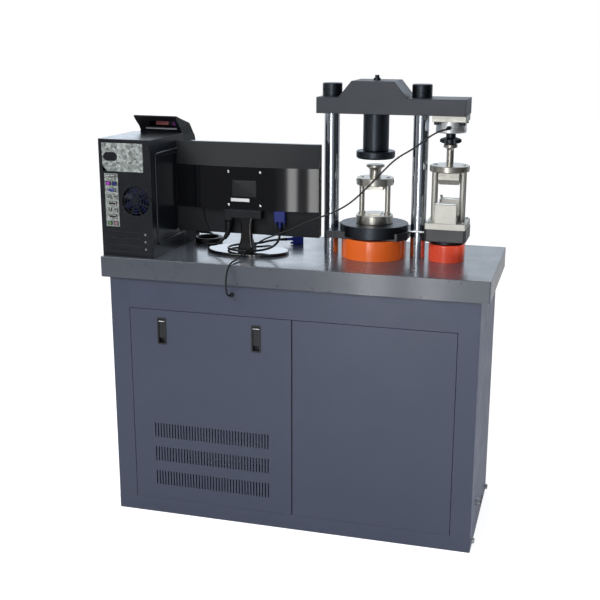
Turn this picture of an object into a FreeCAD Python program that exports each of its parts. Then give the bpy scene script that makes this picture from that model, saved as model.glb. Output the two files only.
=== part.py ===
"""Flexural and compression testing machine on a steel cabinet, with its control computer.

X runs along the maintenance side, Y runs away from it and Z is up. The origin is on the floor
under the middle of the worktop. Every length is in millimetres.
"""
import FreeCAD
import Part
import math
import os

V = FreeCAD.Vector

# Worktop and cabinet
worktop_width = 1160.0
worktop_depth = 470.0
worktop_height = 822.0
worktop_skirt = 62.0
worktop_sheet = 3.0
worktop_overhang = 24.0
cabinet_width = worktop_width - 2 * worktop_overhang
cabinet_depth = 450.0
cabinet_sheet = 2.0
plinth_height = 48.0
plinth_wall = 3.0
plinth_lip = 25.0
post_face = 60.0
panel_top = 666.0
panel_depth = 20.0
panel_seam = 1.6
panel_seat_gap = 0.5
panel_split_x = 15.0
rail_flange = 30.0
mullion_width = 44.0
mullion_depth = 30.0

# Louvres of the vented panel
vent_first_x = -425.0
vent_last_x = -60.0
vent_slot_width = 3.4
vent_slot_height = 47.0
vent_slots = 40
vent_row_tops = (302.0, 223.0, 143.0)

# Panel latches
latch_width = 29.0
latch_height = 83.0
latch_depth = 16.0
latch_rim = 2.5
latch_wall = 2.0
latch_centre_z = 600.5
latch_centres_x = (-392.5, -94.5)
paddle_thickness = 3.0
paddle_clearance = 0.6

# Side fittings
foot_bolt_head = 17.0
foot_bolt_reach = 9.0
foot_bolt_z = 24.0
foot_bolt_inset_y = 34.0
drain_y = -100.0
drain_z = 106.0
drain_body_diameter = 16.0
drain_nut_diameter = 26.0
drain_nut_length = 7.0
drain_body_length = 13.0
drain_lever_length = 46.0
drain_lever_width = 9.0
drain_lever_thickness = 2.5

# Compression frame
frame_y = 10.0
frame_inset = 375.0
main_x = worktop_width / 2 - frame_inset
column_spacing = 265.0
column_diameter = 45.0
column_spigot_diameter = 36.0
column_chamfer = 1.5
crosshead_left_reach = 165.0
crosshead_right_reach = 48.0
crosshead_bottom = 1246.0
crosshead_thickness = 46.0
crosshead_depth = 130.0
hump_height = 47.0
hump_base_width = 201.0
hump_top_width = 124.0
cap_nut_diameter = 58.0
cap_nut_height = 38.0
cap_nut_roof = 7.0
spanner_hole_diameter = 7.0
bolster_thickness = 40.0
bolster_half_depth = 98.0
bolster_overhang = 48.0
bolster_leg = 50.0
bolster_leg_wall = 4.0
spindle_diameter = 76.0
spindle_bolt_diameter = 13.0
spindle_bolt_reach = 15.0
spindle_nut_diameter = 21.0
spindle_nut_height = 7.0
upper_platen_diameter = 114.0
upper_platen_thickness = 22.0
upper_platen_bottom = 1114.5
main_cylinder_diameter = 195.0
main_cylinder_top = 881.2
main_cylinder_lower_diameter = 168.0
main_cylinder_lower_end = 690.0
main_ram_diameter = 125.0
main_ram_bottom = 712.0
guide_plate_left_reach = 131.0
guide_plate_right_reach = 107.0
guide_plate_front_reach = 70.0
guide_plate_rear_reach = 98.0
guide_plate_floor = 5.5
guide_plate_chamfer = 25.0
guide_plate_thickness = 22.0
lower_platen_diameter = 204.0
lower_platen_thickness = 35.0
lower_platen_chamfer = 1.5

# Fits
running_clearance = 0.06
seat_clearance = 0.1
body_gap = 0.3

# Compression jig
jig_base_diameter = 110.0
jig_base_height = 26.0
jig_pillar_diameter = 16.0
jig_pillar_spacing = 78.0
jig_plate_bottom = 1036.3
jig_plate_thickness = 22.0
jig_plate_diameter = 110.0
jig_lower_block = 44.0
jig_lower_block_height = 4.0
jig_upper_block_width = 54.0
jig_upper_block_depth = 44.0
jig_upper_block_height = 14.0
jig_stem_diameter = 34.0
jig_head_diameter = 54.0
jig_head_top = 1096.0
jig_head_rim = 7.0
jig_head_cone = 9.0
stop_knob_diameter = 9.0

# Flexure unit
flexure_offset = 86.5
flexure_x = main_x + column_spacing / 2 + flexure_offset
cell_plate_size = 96.0
cell_plate_thickness = 17.5
cell_screw_head_diameter = 16.0
cell_screw_head_height = 9.0
cell_screw_inset = 11.0
load_cell_diameter = 88.0
load_cell_height = 33.0
load_cell_chamfer = 2.0
gland_diameter = 14.0
gland_reach = 16.0
gland_drop = 16.5
button_neck_diameter = 28.0
button_neck_length = 13.0
button_wheel_diameter = 62.0
button_wheel_height = 20.0
button_grips = 8
button_grip_diameter = 17.0
button_grip_depth = 5.0
flexure_cylinder_diameter = 107.0
flexure_cylinder_top = 872.7
flexure_cylinder_lower_diameter = 92.0
flexure_cylinder_lower_end = 730.0
flexure_ram_diameter = 60.0
flexure_ram_bottom = 752.0
flexure_ram_flange_diameter = 104.0
flexure_ram_flange_height = 11.0
ram_block_width = 122.0
ram_block_depth = 120.0
ram_block_height = 37.0
ram_block_chamfer = 8.0
guide_bar_diameter = 6.0
guide_bar_z = 905.0

# Flexure jig
flexure_base_size = 118.0
flexure_base_thickness = 18.0
support_block_width = 62.0
support_block_height = 56.0
support_span = 100.0
support_block_length = 116.0
support_wall = 24.0
support_web = 18.0
roller_diameter = 10.0
support_roller_length = 60.0
loading_roller_length = 58.0
flexure_pillar_diameter = 19.0
flexure_pillar_spacing = 82.0
flexure_plate_bottom = 1084.3
flexure_plate_thickness = 18.0
flexure_plate_diameter = 115.0
flexure_stem_diameter = 21.0
flexure_head_diameter = 40.0
flexure_head_height = 10.0
flexure_upper_block_width = 60.0
flexure_upper_block_depth = 30.0
flexure_upper_block_height = 36.0

# Strokes that the jigs leave room for
main_stroke = 18.0
flexure_stroke = 14.0

# Power pack and electrics inside the cabinet
tank_length = 300.0
tank_depth = 330.0
tank_height = 270.0
tank_wall = 3.0
tank_foot = 20.0
tank_centre_x = 272.0
motor_diameter = 140.0
motor_length = 230.0
motor_x = -250.0
motor_y = 30.0
pump_diameter = 96.0
pump_length = 90.0
valve_block_size = 90.0
pipe_diameter = 12.0
electrics_width = 240.0
electrics_height = 300.0
electrics_depth = 120.0

# Operator's controls
stop_button_diameter = 40.0
stop_button_travel = 3.5
pump_button_diameter = 22.0
pump_button_travel = 3.0
control_z = 716.0
stop_button_x = -470.0
pump_button_x = -400.0

# Control computer
pc_width = 168.0
pc_height = 349.0
pc_case_depth = 228.0
pc_bezel_depth = 90.0
pc_bezel_overhang = 28.0
pc_turn = -3.0
pc_end_margin = 1.0
pc_corner_x = pc_end_margin - worktop_width / 2
pc_corner_y = -214.0
pc_sheet = 1.5
pc_bezel_rise = 52.0
pc_waist = 24.0
pc_fan_diameter = 84.0
pc_fan_hub = 30.0

# Monitor
monitor_centre_x = -172.0
monitor_width = 448.0
monitor_bottom = 878.0
monitor_top = 1154.0
monitor_y = -51.0
monitor_frame_depth = 20.0
band_top_z = 1085.0
band_bottom_z = 956.0
band_edge_depth = 12.0
band_bulge = 18.0
matte_depth = 9.0
hood_depth = 34.0
hinge_y = -72.0
hinge_z = 941.0
hinge_cover_width = 97.0
hinge_cover_height = 27.0
hinge_cover_depth = 20.0
hinge_barrel_diameter = 16.0
hinge_barrel_length = 62.0
neck_width = 36.0
neck_base_width = 54.0
recess_left_x = -316.0
recess_right_x = -113.0
recess_depth = 7.0
neck_depth = 20.0
foot_width = 256.0
foot_depth = 156.0
foot_thickness = 9.0
foot_centre_x = -173.0
foot_centre_y = -52.0

# Leads
cell_cable_diameter = 5.0
signal_cable_diameter = 7.0
power_lead_diameter = 7.0
plug_width = 35.0
plug_height = 32.0
plug_depth = 16.0
plug_tail_diameter = 11.0
plug_tail_length = 20.0
signal_plug_x = -66.0
power_inlet_x = -228.0
port_y = -69.0
lead_gap = 0.9
power_plug_width = 27.0
power_plug_depth = 18.0
power_plug_length = 34.0
coil_radius = 42.0
coil_layers = 3
coil_x = -338.0
coil_y = 45.0
cable_entry_x = -167.0
cable_entry_z = 730.0
entry_gland_reach = 14.0

# Heights and places that follow from the sizes above
top_underside = worktop_height - worktop_sheet
beam_bottom = top_underside - bolster_thickness
front_face_y = -cabinet_depth / 2
rear_face_y = cabinet_depth / 2
side_face_x = cabinet_width / 2
column_left_x = main_x - column_spacing / 2
column_right_x = main_x + column_spacing / 2
columns_x = (column_left_x, column_right_x)
crosshead_left_x = main_x - crosshead_left_reach
crosshead_right_x = flexure_x + crosshead_right_reach
crosshead_top = crosshead_bottom + crosshead_thickness
hump_top = crosshead_top + hump_height
upper_platen_top = upper_platen_bottom + upper_platen_thickness
guide_plate_bottom = main_cylinder_top + body_gap
guide_plate_top = guide_plate_bottom + guide_plate_thickness
platen_bottom = guide_plate_bottom + guide_plate_floor
platen_top = platen_bottom + lower_platen_thickness
jig_base_top = platen_top + jig_base_height
jig_plate_top = jig_plate_bottom + jig_plate_thickness
cell_plate_bottom = crosshead_bottom - cell_plate_thickness
load_cell_bottom = cell_plate_bottom - load_cell_height
button_bottom = load_cell_bottom - button_neck_length - button_wheel_height
flexure_head_top = button_bottom - body_gap
ram_block_bottom = flexure_cylinder_top + body_gap + flexure_ram_flange_height
ram_block_top = ram_block_bottom + ram_block_height
flexure_base_top = ram_block_top + flexure_base_thickness
support_block_top = flexure_base_top + support_block_height
flexure_plate_top = flexure_plate_bottom + flexure_plate_thickness


def box(x0, x1, y0, y1, z0, z1):
    """Rectangular block between two corners."""
    return Part.makeBox(x1 - x0, y1 - y0, z1 - z0, V(x0, y0, z0))


def rod(diameter, z0, z1, x=0.0, y=0.0):
    """Upright cylinder."""
    return Part.makeCylinder(diameter / 2, z1 - z0, V(x, y, z0), V(0, 0, 1))


def bar_x(diameter, x0, x1, y, z):
    """Cylinder along X."""
    return Part.makeCylinder(diameter / 2, x1 - x0, V(x0, y, z), V(1, 0, 0))


def bar_y(diameter, y0, y1, x, z):
    """Cylinder along Y."""
    return Part.makeCylinder(diameter / 2, y1 - y0, V(x, y0, z), V(0, 1, 0))


def turned(profile, x, y):
    """Solid of revolution about an upright axis, from (radius, height) points."""
    points = [V(r, 0, z) for r, z in profile]
    wire = Part.makePolygon(points + [points[0]])
    solid = Part.Face(wire).revolve(V(0, 0, 0), V(0, 0, 1), 360)
    solid.translate(V(x, y, 0))
    return solid


def prism_y(points, y0, y1):
    """Outline in the XZ plane carried along Y."""
    corners = [V(x, y0, z) for x, z in points]
    wire = Part.makePolygon(corners + [corners[0]])
    return Part.Face(wire).extrude(V(0, y1 - y0, 0))


def prism_x(points, x0, x1):
    """Outline in the YZ plane carried along X."""
    corners = [V(x0, y, z) for y, z in points]
    wire = Part.makePolygon(corners + [corners[0]])
    return Part.Face(wire).extrude(V(x1 - x0, 0, 0))


def prism_z(points, z0, z1):
    """Outline in the XY plane carried upwards."""
    corners = [V(x, y, z0) for x, y in points]
    wire = Part.makePolygon(corners + [corners[0]])
    return Part.Face(wire).extrude(V(0, 0, z1 - z0))


def edges_along(shape, direction):
    """Straight edges parallel to a direction."""
    found = []
    for edge in shape.Edges:
        if len(edge.Vertexes) != 2 or edge.Curve.TypeId != "Part::GeomLine":
            continue
        if abs(edge.Curve.Direction.dot(direction)) > 0.999:
            found.append(edge)
    return found


def edges_at_height(shape, z):
    """Edges that lie wholly in one level plane."""
    found = []
    for edge in shape.Edges:
        limits = edge.BoundBox
        if abs(limits.ZMin - z) < 0.01 and abs(limits.ZMax - z) < 0.01:
            found.append(edge)
    return found


def rounded_upright(shape, radius):
    """The same block with its upright edges rounded."""
    return shape.makeFillet(radius, edges_along(shape, V(0, 0, 1)))


def joined(shapes):
    """Several touching or overlapping shapes as one solid."""
    return shapes[0].multiFuse(shapes[1:]).removeSplitter()


def save(name, *solids):
    """Write one named piece, or a group of equal or like pieces."""
    shape = solids[0] if len(solids) == 1 else Part.makeCompound(list(solids))
    shape.exportStep("parts/" + name + ".step")


def mirrored_x(shape, x=0.0):
    """Mirror image across a plane of constant X."""
    return shape.mirror(V(x, 0, 0), V(1, 0, 0))


# Cabinet


def plinth():
    """Bent base tray: floor sheet on top, walls down to inward lips."""
    half_w = cabinet_width / 2
    half_d = cabinet_depth / 2
    outer = box(-half_w, half_w, -half_d, half_d, 0, plinth_height)
    inner = box(-half_w + plinth_wall, half_w - plinth_wall, -half_d + plinth_wall, half_d - plinth_wall,
                plinth_wall, plinth_height - plinth_wall)
    mouth = box(-half_w + plinth_lip, half_w - plinth_lip, -half_d + plinth_lip, half_d - plinth_lip,
                0, plinth_wall)
    tray = outer.cut(inner).cut(mouth)
    for sign in (-1, 1):
        for y in foot_bolt_rows():
            tray = tray.cut(bar_x(foot_bolt_shank(), sign * (half_w - 2 * plinth_wall) - 20, 20 +
                                  sign * (half_w - 2 * plinth_wall), y, foot_bolt_z))
    return tray


def foot_bolt_rows():
    """Distance along the depth of the two foot bolts of each side."""
    return (front_face_y + foot_bolt_inset_y, rear_face_y - foot_bolt_inset_y)


def foot_bolt_shank():
    """Shank diameter of a foot bolt, which its hole in the plinth fits."""
    return foot_bolt_head * 0.6


def foot_bolts():
    """Bolts through the plinth's side walls, with round heads outside."""
    solids = []
    for y in foot_bolt_rows():
        shank = bar_x(foot_bolt_shank() - 2 * seat_clearance, side_face_x - 16, side_face_x + 1, y, foot_bolt_z)
        head = bar_x(foot_bolt_head, side_face_x, side_face_x + foot_bolt_reach, y, foot_bolt_z)
        head = head.makeChamfer(1.2, [e for e in head.Edges if e.BoundBox.XMin > side_face_x + 1])
        bolt = joined([shank, head])
        solids.append(bolt)
        solids.append(mirrored_x(bolt))
    return solids


def side_panels():
    """Side sheets folded round both corners, one each side."""
    outer = box(side_face_x - post_face, side_face_x, front_face_y, rear_face_y, plinth_height, top_underside)
    inner = box(side_face_x - post_face - 1, side_face_x - cabinet_sheet, front_face_y + cabinet_sheet,
                rear_face_y - cabinet_sheet, plinth_height - 1, top_underside + 1)
    folded = outer.cut(inner)
    corners = [e for e in edges_along(folded, V(0, 0, 1)) if e.BoundBox.XMin > side_face_x - 0.1]
    folded = folded.makeFillet(1.5, corners)
    left = mirrored_x(folded)
    right = folded.cut(bar_x(drain_body_diameter, side_face_x - 10, side_face_x + 10, drain_y, drain_z))
    return left, right


def channel(x0, x1, y_face, inward, z0, z1, depth, sheet):
    """Sheet with its four edges folded inwards, open behind."""
    y_back = y_face + inward * depth
    outer = box(x0, x1, min(y_face, y_back), max(y_face, y_back), z0, z1)
    y_in = y_face + inward * sheet
    y_out = y_back + inward
    inner = box(x0 + sheet, x1 - sheet, min(y_in, y_out), max(y_in, y_out), z0 + sheet, z1 - sheet)
    return outer.cut(inner)


def cabinet_rails():
    """Top rails of both long sides and the mullions behind the seams."""
    x0 = -side_face_x + post_face
    x1 = side_face_x - post_face
    z0 = panel_top + panel_seam
    front = channel(x0, x1, front_face_y, 1, z0, top_underside, rail_flange, cabinet_sheet)
    rear = channel(x0, x1, rear_face_y, -1, z0, top_underside, rail_flange, cabinet_sheet)
    for x, diameter in ((stop_button_x, stop_button_diameter), (pump_button_x, pump_button_diameter)):
        hole = bar_y(diameter * 0.6, rear_face_y - 2 * cabinet_sheet, rear_face_y + 1, x, control_z)
        rear = rear.cut(hole)
    entry = bar_y(gland_diameter - 2 + 2 * seat_clearance, front_face_y - 1, front_face_y + 2 * cabinet_sheet,
                  cable_entry_x, cable_entry_z)
    front = front.cut(entry)
    solids = [front, rear]
    for sign in (-1, 1):
        y0 = sign * (cabinet_depth / 2 - panel_depth - panel_seat_gap)
        y1 = sign * (cabinet_depth / 2 - panel_depth - panel_seat_gap - mullion_depth)
        post = box(panel_split_x - mullion_width / 2, panel_split_x + mullion_width / 2, min(y0, y1), max(y0, y1),
                   plinth_height, panel_top)
        core = box(panel_split_x - mullion_width / 2 + cabinet_sheet, panel_split_x + mullion_width / 2 - cabinet_sheet,
                   min(y0, y1) + cabinet_sheet, max(y0, y1) - cabinet_sheet, plinth_height - 1, panel_top + 1)
        solids.append(post.cut(core))
    return solids


def vent_slots_cutters():
    """Narrow upright slots in rows."""
    pitch = (vent_last_x - vent_first_x) / (vent_slots - 1)
    cutters = []
    for top in vent_row_tops:
        for i in range(vent_slots):
            x = vent_first_x + i * pitch
            cutters.append(box(x - vent_slot_width / 2, x + vent_slot_width / 2, front_face_y - 1,
                               front_face_y + cabinet_sheet + 1, top - vent_slot_height, top))
    return cutters


def vented_panel():
    """Lift-off panel with rows of slots and two latch cut-outs."""
    x0 = -side_face_x + post_face + panel_seam
    x1 = panel_split_x - panel_seam
    panel = channel(x0, x1, front_face_y, 1, plinth_height + panel_seat_gap, panel_top, panel_depth, cabinet_sheet)
    holes = []
    for x in latch_centres_x:
        half_w = latch_width / 2 - latch_rim
        half_h = latch_height / 2 - latch_rim
        holes.append(box(x - half_w, x + half_w, front_face_y - 1, front_face_y + cabinet_sheet + 1,
                         latch_centre_z - half_h, latch_centre_z + half_h))
    return panel.cut(Part.makeCompound(vent_slots_cutters() + holes))


def latch_housing(x):
    """Recessed pot with a rim that lies on the panel."""
    half_w = latch_width / 2
    half_h = latch_height / 2
    z0 = latch_centre_z - half_h
    z1 = latch_centre_z + half_h
    rim = box(x - half_w, x + half_w, front_face_y - 1.5, front_face_y, z0, z1)
    rim = rim.makeFillet(3.0, edges_along(rim, V(0, 1, 0)))
    pot_w = half_w - latch_rim - seat_clearance
    pot_h = half_h - latch_rim - seat_clearance
    pot = box(x - pot_w, x + pot_w, front_face_y - 1, front_face_y + latch_depth, latch_centre_z - pot_h,
              latch_centre_z + pot_h)
    hollow = box(x - pot_w + latch_wall, x + pot_w - latch_wall, front_face_y - 2,
                 front_face_y + latch_depth - latch_wall, latch_centre_z - pot_h + latch_wall,
                 latch_centre_z + pot_h - latch_wall)
    housing = joined([rim, pot]).cut(hollow)
    return housing.cut(bar_x(3.0 + 2 * running_clearance, x - pot_w - 1, x + pot_w + 1, paddle_axis_y(), paddle_axis_z()))


def paddle_axis_y():
    """Depth of the paddle's pivot pin."""
    return front_face_y + 3.2


def paddle_axis_z():
    """Height of the paddle's pivot pin, near the pot's roof."""
    return latch_centre_z + latch_height / 2 - latch_rim - latch_wall - 5.0


def latch_paddle(x):
    """Curved pull that swings out about its upper pin."""
    half_w = latch_width / 2 - latch_rim - seat_clearance - latch_wall - paddle_clearance
    y = paddle_axis_y()
    z = paddle_axis_z()
    bottom = latch_centre_z - latch_height / 2 + latch_rim + latch_wall + 16.0
    half_t = paddle_thickness / 2
    outline = [(y - half_t, z), (y - half_t, bottom + 8), (y - half_t - 0.8, bottom), (y + half_t + 1.2, bottom),
               (y + half_t, bottom + 10), (y + half_t, z)]
    leaf = prism_x(outline, x - half_w, x + half_w)
    barrel = bar_x(6.0, x - half_w, x + half_w, y, z)
    pin = bar_x(3.0, x - half_w - latch_wall - paddle_clearance, x + half_w + latch_wall + paddle_clearance, y, z)
    return joined([leaf, barrel, pin])


def fixed_panels():
    """Blank panel beside the vented one and the operator's side panels."""
    z0 = plinth_height + panel_seat_gap
    x0 = panel_split_x + panel_seam
    x1 = side_face_x - post_face - panel_seam
    blank = channel(x0, x1, front_face_y, 1, z0, panel_top, panel_depth, cabinet_sheet)
    rear_right = channel(x0, x1, rear_face_y, -1, z0, panel_top, panel_depth, cabinet_sheet)
    rear_left = channel(-side_face_x + post_face + panel_seam, panel_split_x - panel_seam, rear_face_y, -1, z0,
                        panel_top, panel_depth, cabinet_sheet)
    return blank, rear_right, rear_left


def worktop():
    """Folded top sheet with a deep skirt, pierced for the columns and cylinders."""
    half_w = worktop_width / 2
    half_d = worktop_depth / 2
    z0 = worktop_height - worktop_skirt
    outer = rounded_upright(box(-half_w, half_w, -half_d, half_d, z0, worktop_height), 4.0)
    outer = outer.makeFillet(2.0, edges_at_height(outer, worktop_height))
    inner = box(-half_w + worktop_sheet, half_w - worktop_sheet, -half_d + worktop_sheet, half_d - worktop_sheet,
                z0 - 1, top_underside)
    top = outer.cut(inner)
    holes = [rod(column_diameter + 2 * body_gap, z0, worktop_height + 1, x, frame_y) for x in columns_x]
    holes.append(rod(main_cylinder_diameter + 2 * body_gap, z0, worktop_height + 1, main_x, frame_y))
    holes.append(rod(flexure_cylinder_diameter + 2 * body_gap, z0, worktop_height + 1, flexure_x, frame_y))
    return top.cut(Part.makeCompound(holes))


def drain_valve():
    """Hexagon nut and round body of the oil drain cock, with its pipe to the tank."""
    x = side_face_x
    hexagon = [(drain_y + drain_nut_diameter / 2 * math.cos(math.radians(60 * i)),
                drain_z + drain_nut_diameter / 2 * math.sin(math.radians(60 * i))) for i in range(6)]
    nut = prism_x(hexagon, x, x + drain_nut_length)
    body = bar_x(drain_body_diameter, x + drain_nut_length, x + drain_body_length, drain_y, drain_z)
    pipe_end = tank_centre_x + tank_length / 2
    pipe = bar_x(drain_body_diameter - 2 * seat_clearance, pipe_end, x, drain_y, drain_z)
    stem = bar_x(5.0, x + drain_body_length, x + drain_body_length + drain_lever_thickness + 2, drain_y, drain_z)
    return joined([nut, body, pipe, stem])


def drain_lever():
    """Flat lever on the cock's stem, rounded at both ends."""
    x0 = side_face_x + drain_body_length + body_gap
    x1 = x0 + drain_lever_thickness
    half = drain_lever_width / 2
    hub = bar_x(drain_lever_width, x0, x1, drain_y, drain_z)
    blade = box(x0, x1, drain_y, drain_y + drain_lever_length - half, drain_z - half, drain_z + half)
    tip = bar_x(drain_lever_width, x0, x1, drain_y + drain_lever_length - half, drain_z)
    lever = joined([hub, blade, tip])
    return lever.cut(bar_x(5.0 + 2 * running_clearance, x0 - 1, x1 + 1, drain_y, drain_z))


# Compression frame


def bolster():
    """Thick plate under the worktop that ties the columns and carries both cylinders, with its legs."""
    x0 = column_left_x - bolster_overhang
    x1 = flexure_x + flexure_cylinder_diameter / 2 + bolster_overhang / 2
    y0 = frame_y - bolster_half_depth
    y1 = frame_y + bolster_half_depth
    plate = box(x0, x1, y0, y1, beam_bottom, top_underside)
    holes = [rod(column_spigot_diameter + 2 * seat_clearance, beam_bottom - 1, top_underside + 1, x, frame_y)
             for x in columns_x]
    holes.append(rod(main_cylinder_lower_diameter + 2 * seat_clearance, beam_bottom - 1, top_underside + 1, main_x,
                     frame_y))
    holes.append(rod(flexure_cylinder_lower_diameter + 2 * seat_clearance, beam_bottom - 1, top_underside + 1,
                     flexure_x, frame_y))
    solids = [plate.cut(Part.makeCompound(holes))]
    for x in (x0, x1 - bolster_leg):
        for y in (y0, y1 - bolster_leg):
            tube = rounded_upright(box(x, x + bolster_leg, y, y + bolster_leg, plinth_height, beam_bottom), 5.0)
            core = box(x + bolster_leg_wall, x + bolster_leg - bolster_leg_wall, y + bolster_leg_wall,
                       y + bolster_leg - bolster_leg_wall, plinth_height - 1, beam_bottom + 1)
            solids.append(tube.cut(core))
    return solids


def columns():
    """Chromed columns with shoulders on the bolster and under the crosshead."""
    r = column_diameter / 2
    s = column_spigot_diameter / 2
    bottom = beam_bottom - cap_nut_height + cap_nut_roof + seat_clearance
    top = crosshead_top + cap_nut_height - cap_nut_roof - seat_clearance
    profile = [(0, bottom), (s - column_chamfer, bottom), (s, bottom + column_chamfer), (s, top_underside),
               (r, top_underside), (r, crosshead_bottom), (s, crosshead_bottom), (s, top - column_chamfer),
               (s - column_chamfer, top), (0, top)]
    return [turned(profile, x, frame_y) for x in columns_x]


def cap_nut(x, seat, up):
    """Round cap nut with four spanner holes; up is 1 above the crosshead, -1 below the bolster."""
    r = cap_nut_diameter / 2
    bore = column_spigot_diameter / 2 + seat_clearance
    edge = 2.0
    roof = cap_nut_height - cap_nut_roof
    profile = [(bore, 0), (r, 0), (r, cap_nut_height - edge), (r - edge, cap_nut_height), (0, cap_nut_height),
               (0, roof), (bore, roof)]
    nut = turned([(radius, seat + up * z) for radius, z in profile], x, frame_y)
    z = seat + up * cap_nut_height / 2
    for i in range(4):
        angle = math.radians(45 + 90 * i)
        direction = V(math.cos(angle), math.sin(angle), 0)
        start = V(x, frame_y, z) + direction * (r - 5)
        nut = nut.cut(Part.makeCylinder(spanner_hole_diameter / 2, 8, start, direction))
    return nut


def column_nuts():
    """Two cap nuts on the crosshead and two under the bolster."""
    nuts = [cap_nut(x, crosshead_top, 1) for x in columns_x]
    nuts += [cap_nut(x, beam_bottom, -1) for x in columns_x]
    return nuts


def crosshead():
    """Steel crosshead with a raised middle and an arm for the flexure unit."""
    half_base = hump_base_width / 2
    half_top = hump_top_width / 2
    outline = [(crosshead_left_x, crosshead_bottom), (crosshead_right_x, crosshead_bottom),
               (crosshead_right_x, crosshead_top), (main_x + half_base, crosshead_top), (main_x + half_top, hump_top),
               (main_x - half_top, hump_top), (main_x - half_base, crosshead_top), (crosshead_left_x, crosshead_top)]
    y0 = frame_y - crosshead_depth / 2
    y1 = frame_y + crosshead_depth / 2
    beam = prism_y(outline, y0, y1)
    beam = beam.makeChamfer(1.2, [e for e in beam.Edges if e.BoundBox.YLength < 0.01])
    holes = [rod(column_spigot_diameter + 2 * seat_clearance, crosshead_bottom - 1, crosshead_top + 1, x, frame_y)
             for x in columns_x]
    holes.append(rod(spindle_bolt_diameter + 2 * seat_clearance, crosshead_bottom - 1, hump_top + 1, main_x, frame_y))
    return beam.cut(Part.makeCompound(holes))


def spindle():
    """Black spindle hung from the crosshead by its through bolt, and the nut on top."""
    r = spindle_diameter / 2
    b = spindle_bolt_diameter / 2
    bolt_top = hump_top + spindle_bolt_reach
    body = turned([(0, upper_platen_top), (r - 2, upper_platen_top), (r, upper_platen_top + 2),
                   (r, crosshead_bottom - 2), (r - 2, crosshead_bottom), (b, crosshead_bottom), (b, bolt_top - 1.5),
                   (b - 1.5, bolt_top), (0, bolt_top)], main_x, frame_y)
    nut_r = spindle_nut_diameter / 2
    nut = turned([(b + seat_clearance, hump_top), (nut_r, hump_top), (nut_r, hump_top + spindle_nut_height - 1),
                  (nut_r - 1, hump_top + spindle_nut_height), (b + seat_clearance, hump_top + spindle_nut_height)],
                 main_x, frame_y)
    return body, nut


def upper_platen():
    """Round platen under the spindle, its lower edge relieved."""
    r = upper_platen_diameter / 2
    return turned([(0, upper_platen_bottom), (r - 4, upper_platen_bottom), (r - 1, upper_platen_bottom + 3),
                   (r, upper_platen_bottom + 5), (r, upper_platen_top - 1.5), (r - 1.5, upper_platen_top),
                   (0, upper_platen_top)], main_x, frame_y)


def cylinder_body(x, diameter, top, lower_diameter, lower_end, bore, floor):
    """Stepped cylinder body that sits on the bolster, bored for its ram."""
    r = diameter / 2
    low = lower_diameter / 2
    b = bore / 2 + running_clearance
    return turned([(0, lower_end), (low, lower_end), (low, top_underside), (r, top_underside), (r, top - 1.5),
                   (r - 1.5, top), (b, top), (b, floor), (0, floor)], x, frame_y)


def main_cylinder():
    """Orange main cylinder."""
    return cylinder_body(main_x, main_cylinder_diameter, main_cylinder_top, main_cylinder_lower_diameter,
                         main_cylinder_lower_end, main_ram_diameter, main_ram_bottom - 2)


def main_ram():
    """Ram of the main cylinder, its top under the guide plate."""
    r = main_ram_diameter / 2
    return turned([(0, main_ram_bottom), (r - 2, main_ram_bottom), (r, main_ram_bottom + 2), (r, guide_plate_bottom),
                   (0, guide_plate_bottom)], main_x, frame_y)


def guide_plate():
    """Plate on the main ram, notched to run along the left column, with the platen seated in its top."""
    left = -guide_plate_left_reach
    right = guide_plate_right_reach
    front = -guide_plate_front_reach
    rear = guide_plate_rear_reach
    c = guide_plate_chamfer
    outline = [(left, front), (right - c, front), (right, front + c), (right, rear - c), (right - c, rear),
               (left + c, rear), (left, rear - c)]
    plate = prism_z([(main_x + x, frame_y + y) for x, y in outline], guide_plate_bottom, guide_plate_top)
    plate = plate.makeChamfer(1.0, edges_at_height(plate, guide_plate_top))
    seat = rod(lower_platen_diameter + 2 * seat_clearance, platen_bottom, guide_plate_top + 1, main_x, frame_y)
    notches = [rod(column_diameter + 2 * body_gap, guide_plate_bottom - 1, guide_plate_top + 1, x, frame_y)
               for x in columns_x]
    return plate.cut(Part.makeCompound(notches)).cut(seat)


def lower_platen():
    """Thick round platen with two fine centring rings on its face."""
    r = lower_platen_diameter / 2
    c = lower_platen_chamfer
    z = platen_top
    low = platen_bottom
    return turned([(0, low), (r - c, low), (r, low + c), (r, z - c), (r - c, z),
                   (0, z)], main_x, frame_y)


# Compression jig


def compression_jig_base():
    """Round base with its raised lower block, the stop knob and two pillars."""
    r = jig_base_diameter / 2
    c = 1.5
    z0 = platen_top
    z1 = jig_base_top
    disc = turned([(0, z0), (r - c, z0), (r, z0 + c), (r, z1 - c), (r - c, z1), (0, z1)], main_x, frame_y)
    half = jig_lower_block / 2
    block = box(main_x - half, main_x + half, frame_y - half, frame_y + half, z1, z1 + jig_lower_block_height)
    base = joined([disc, block])
    pillars = []
    for sign in (-1, 1):
        x = main_x + sign * jig_pillar_spacing / 2
        p = jig_pillar_diameter / 2
        pillars.append(turned([(0, z1), (p + 2.5, z1), (p + 2.5, z1 + 4), (p, z1 + 6), (p, jig_plate_bottom),
                               (0, jig_plate_bottom)], x, frame_y))
    k = stop_knob_diameter / 2
    knob_z = z1
    knob = turned([(0, knob_z), (1.8, knob_z), (1.8, knob_z + 4), (k, knob_z + 5), (k, knob_z + 10),
                   (k - 1, knob_z + 11), (0, knob_z + 11)], main_x - jig_lower_block / 2 - k - 1, frame_y - half)
    return [base] + pillars + [knob]


def compression_jig_guide():
    """Round plate on the pillars, bored for the plunger."""
    r = jig_plate_diameter / 2
    c = 1.5
    bore = jig_stem_diameter / 2 + running_clearance
    z0 = jig_plate_bottom
    z1 = jig_plate_top
    return turned([(bore, z0), (r - c, z0), (r, z0 + c), (r, z1 - c), (r - c, z1), (bore, z1)], main_x, frame_y)


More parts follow.
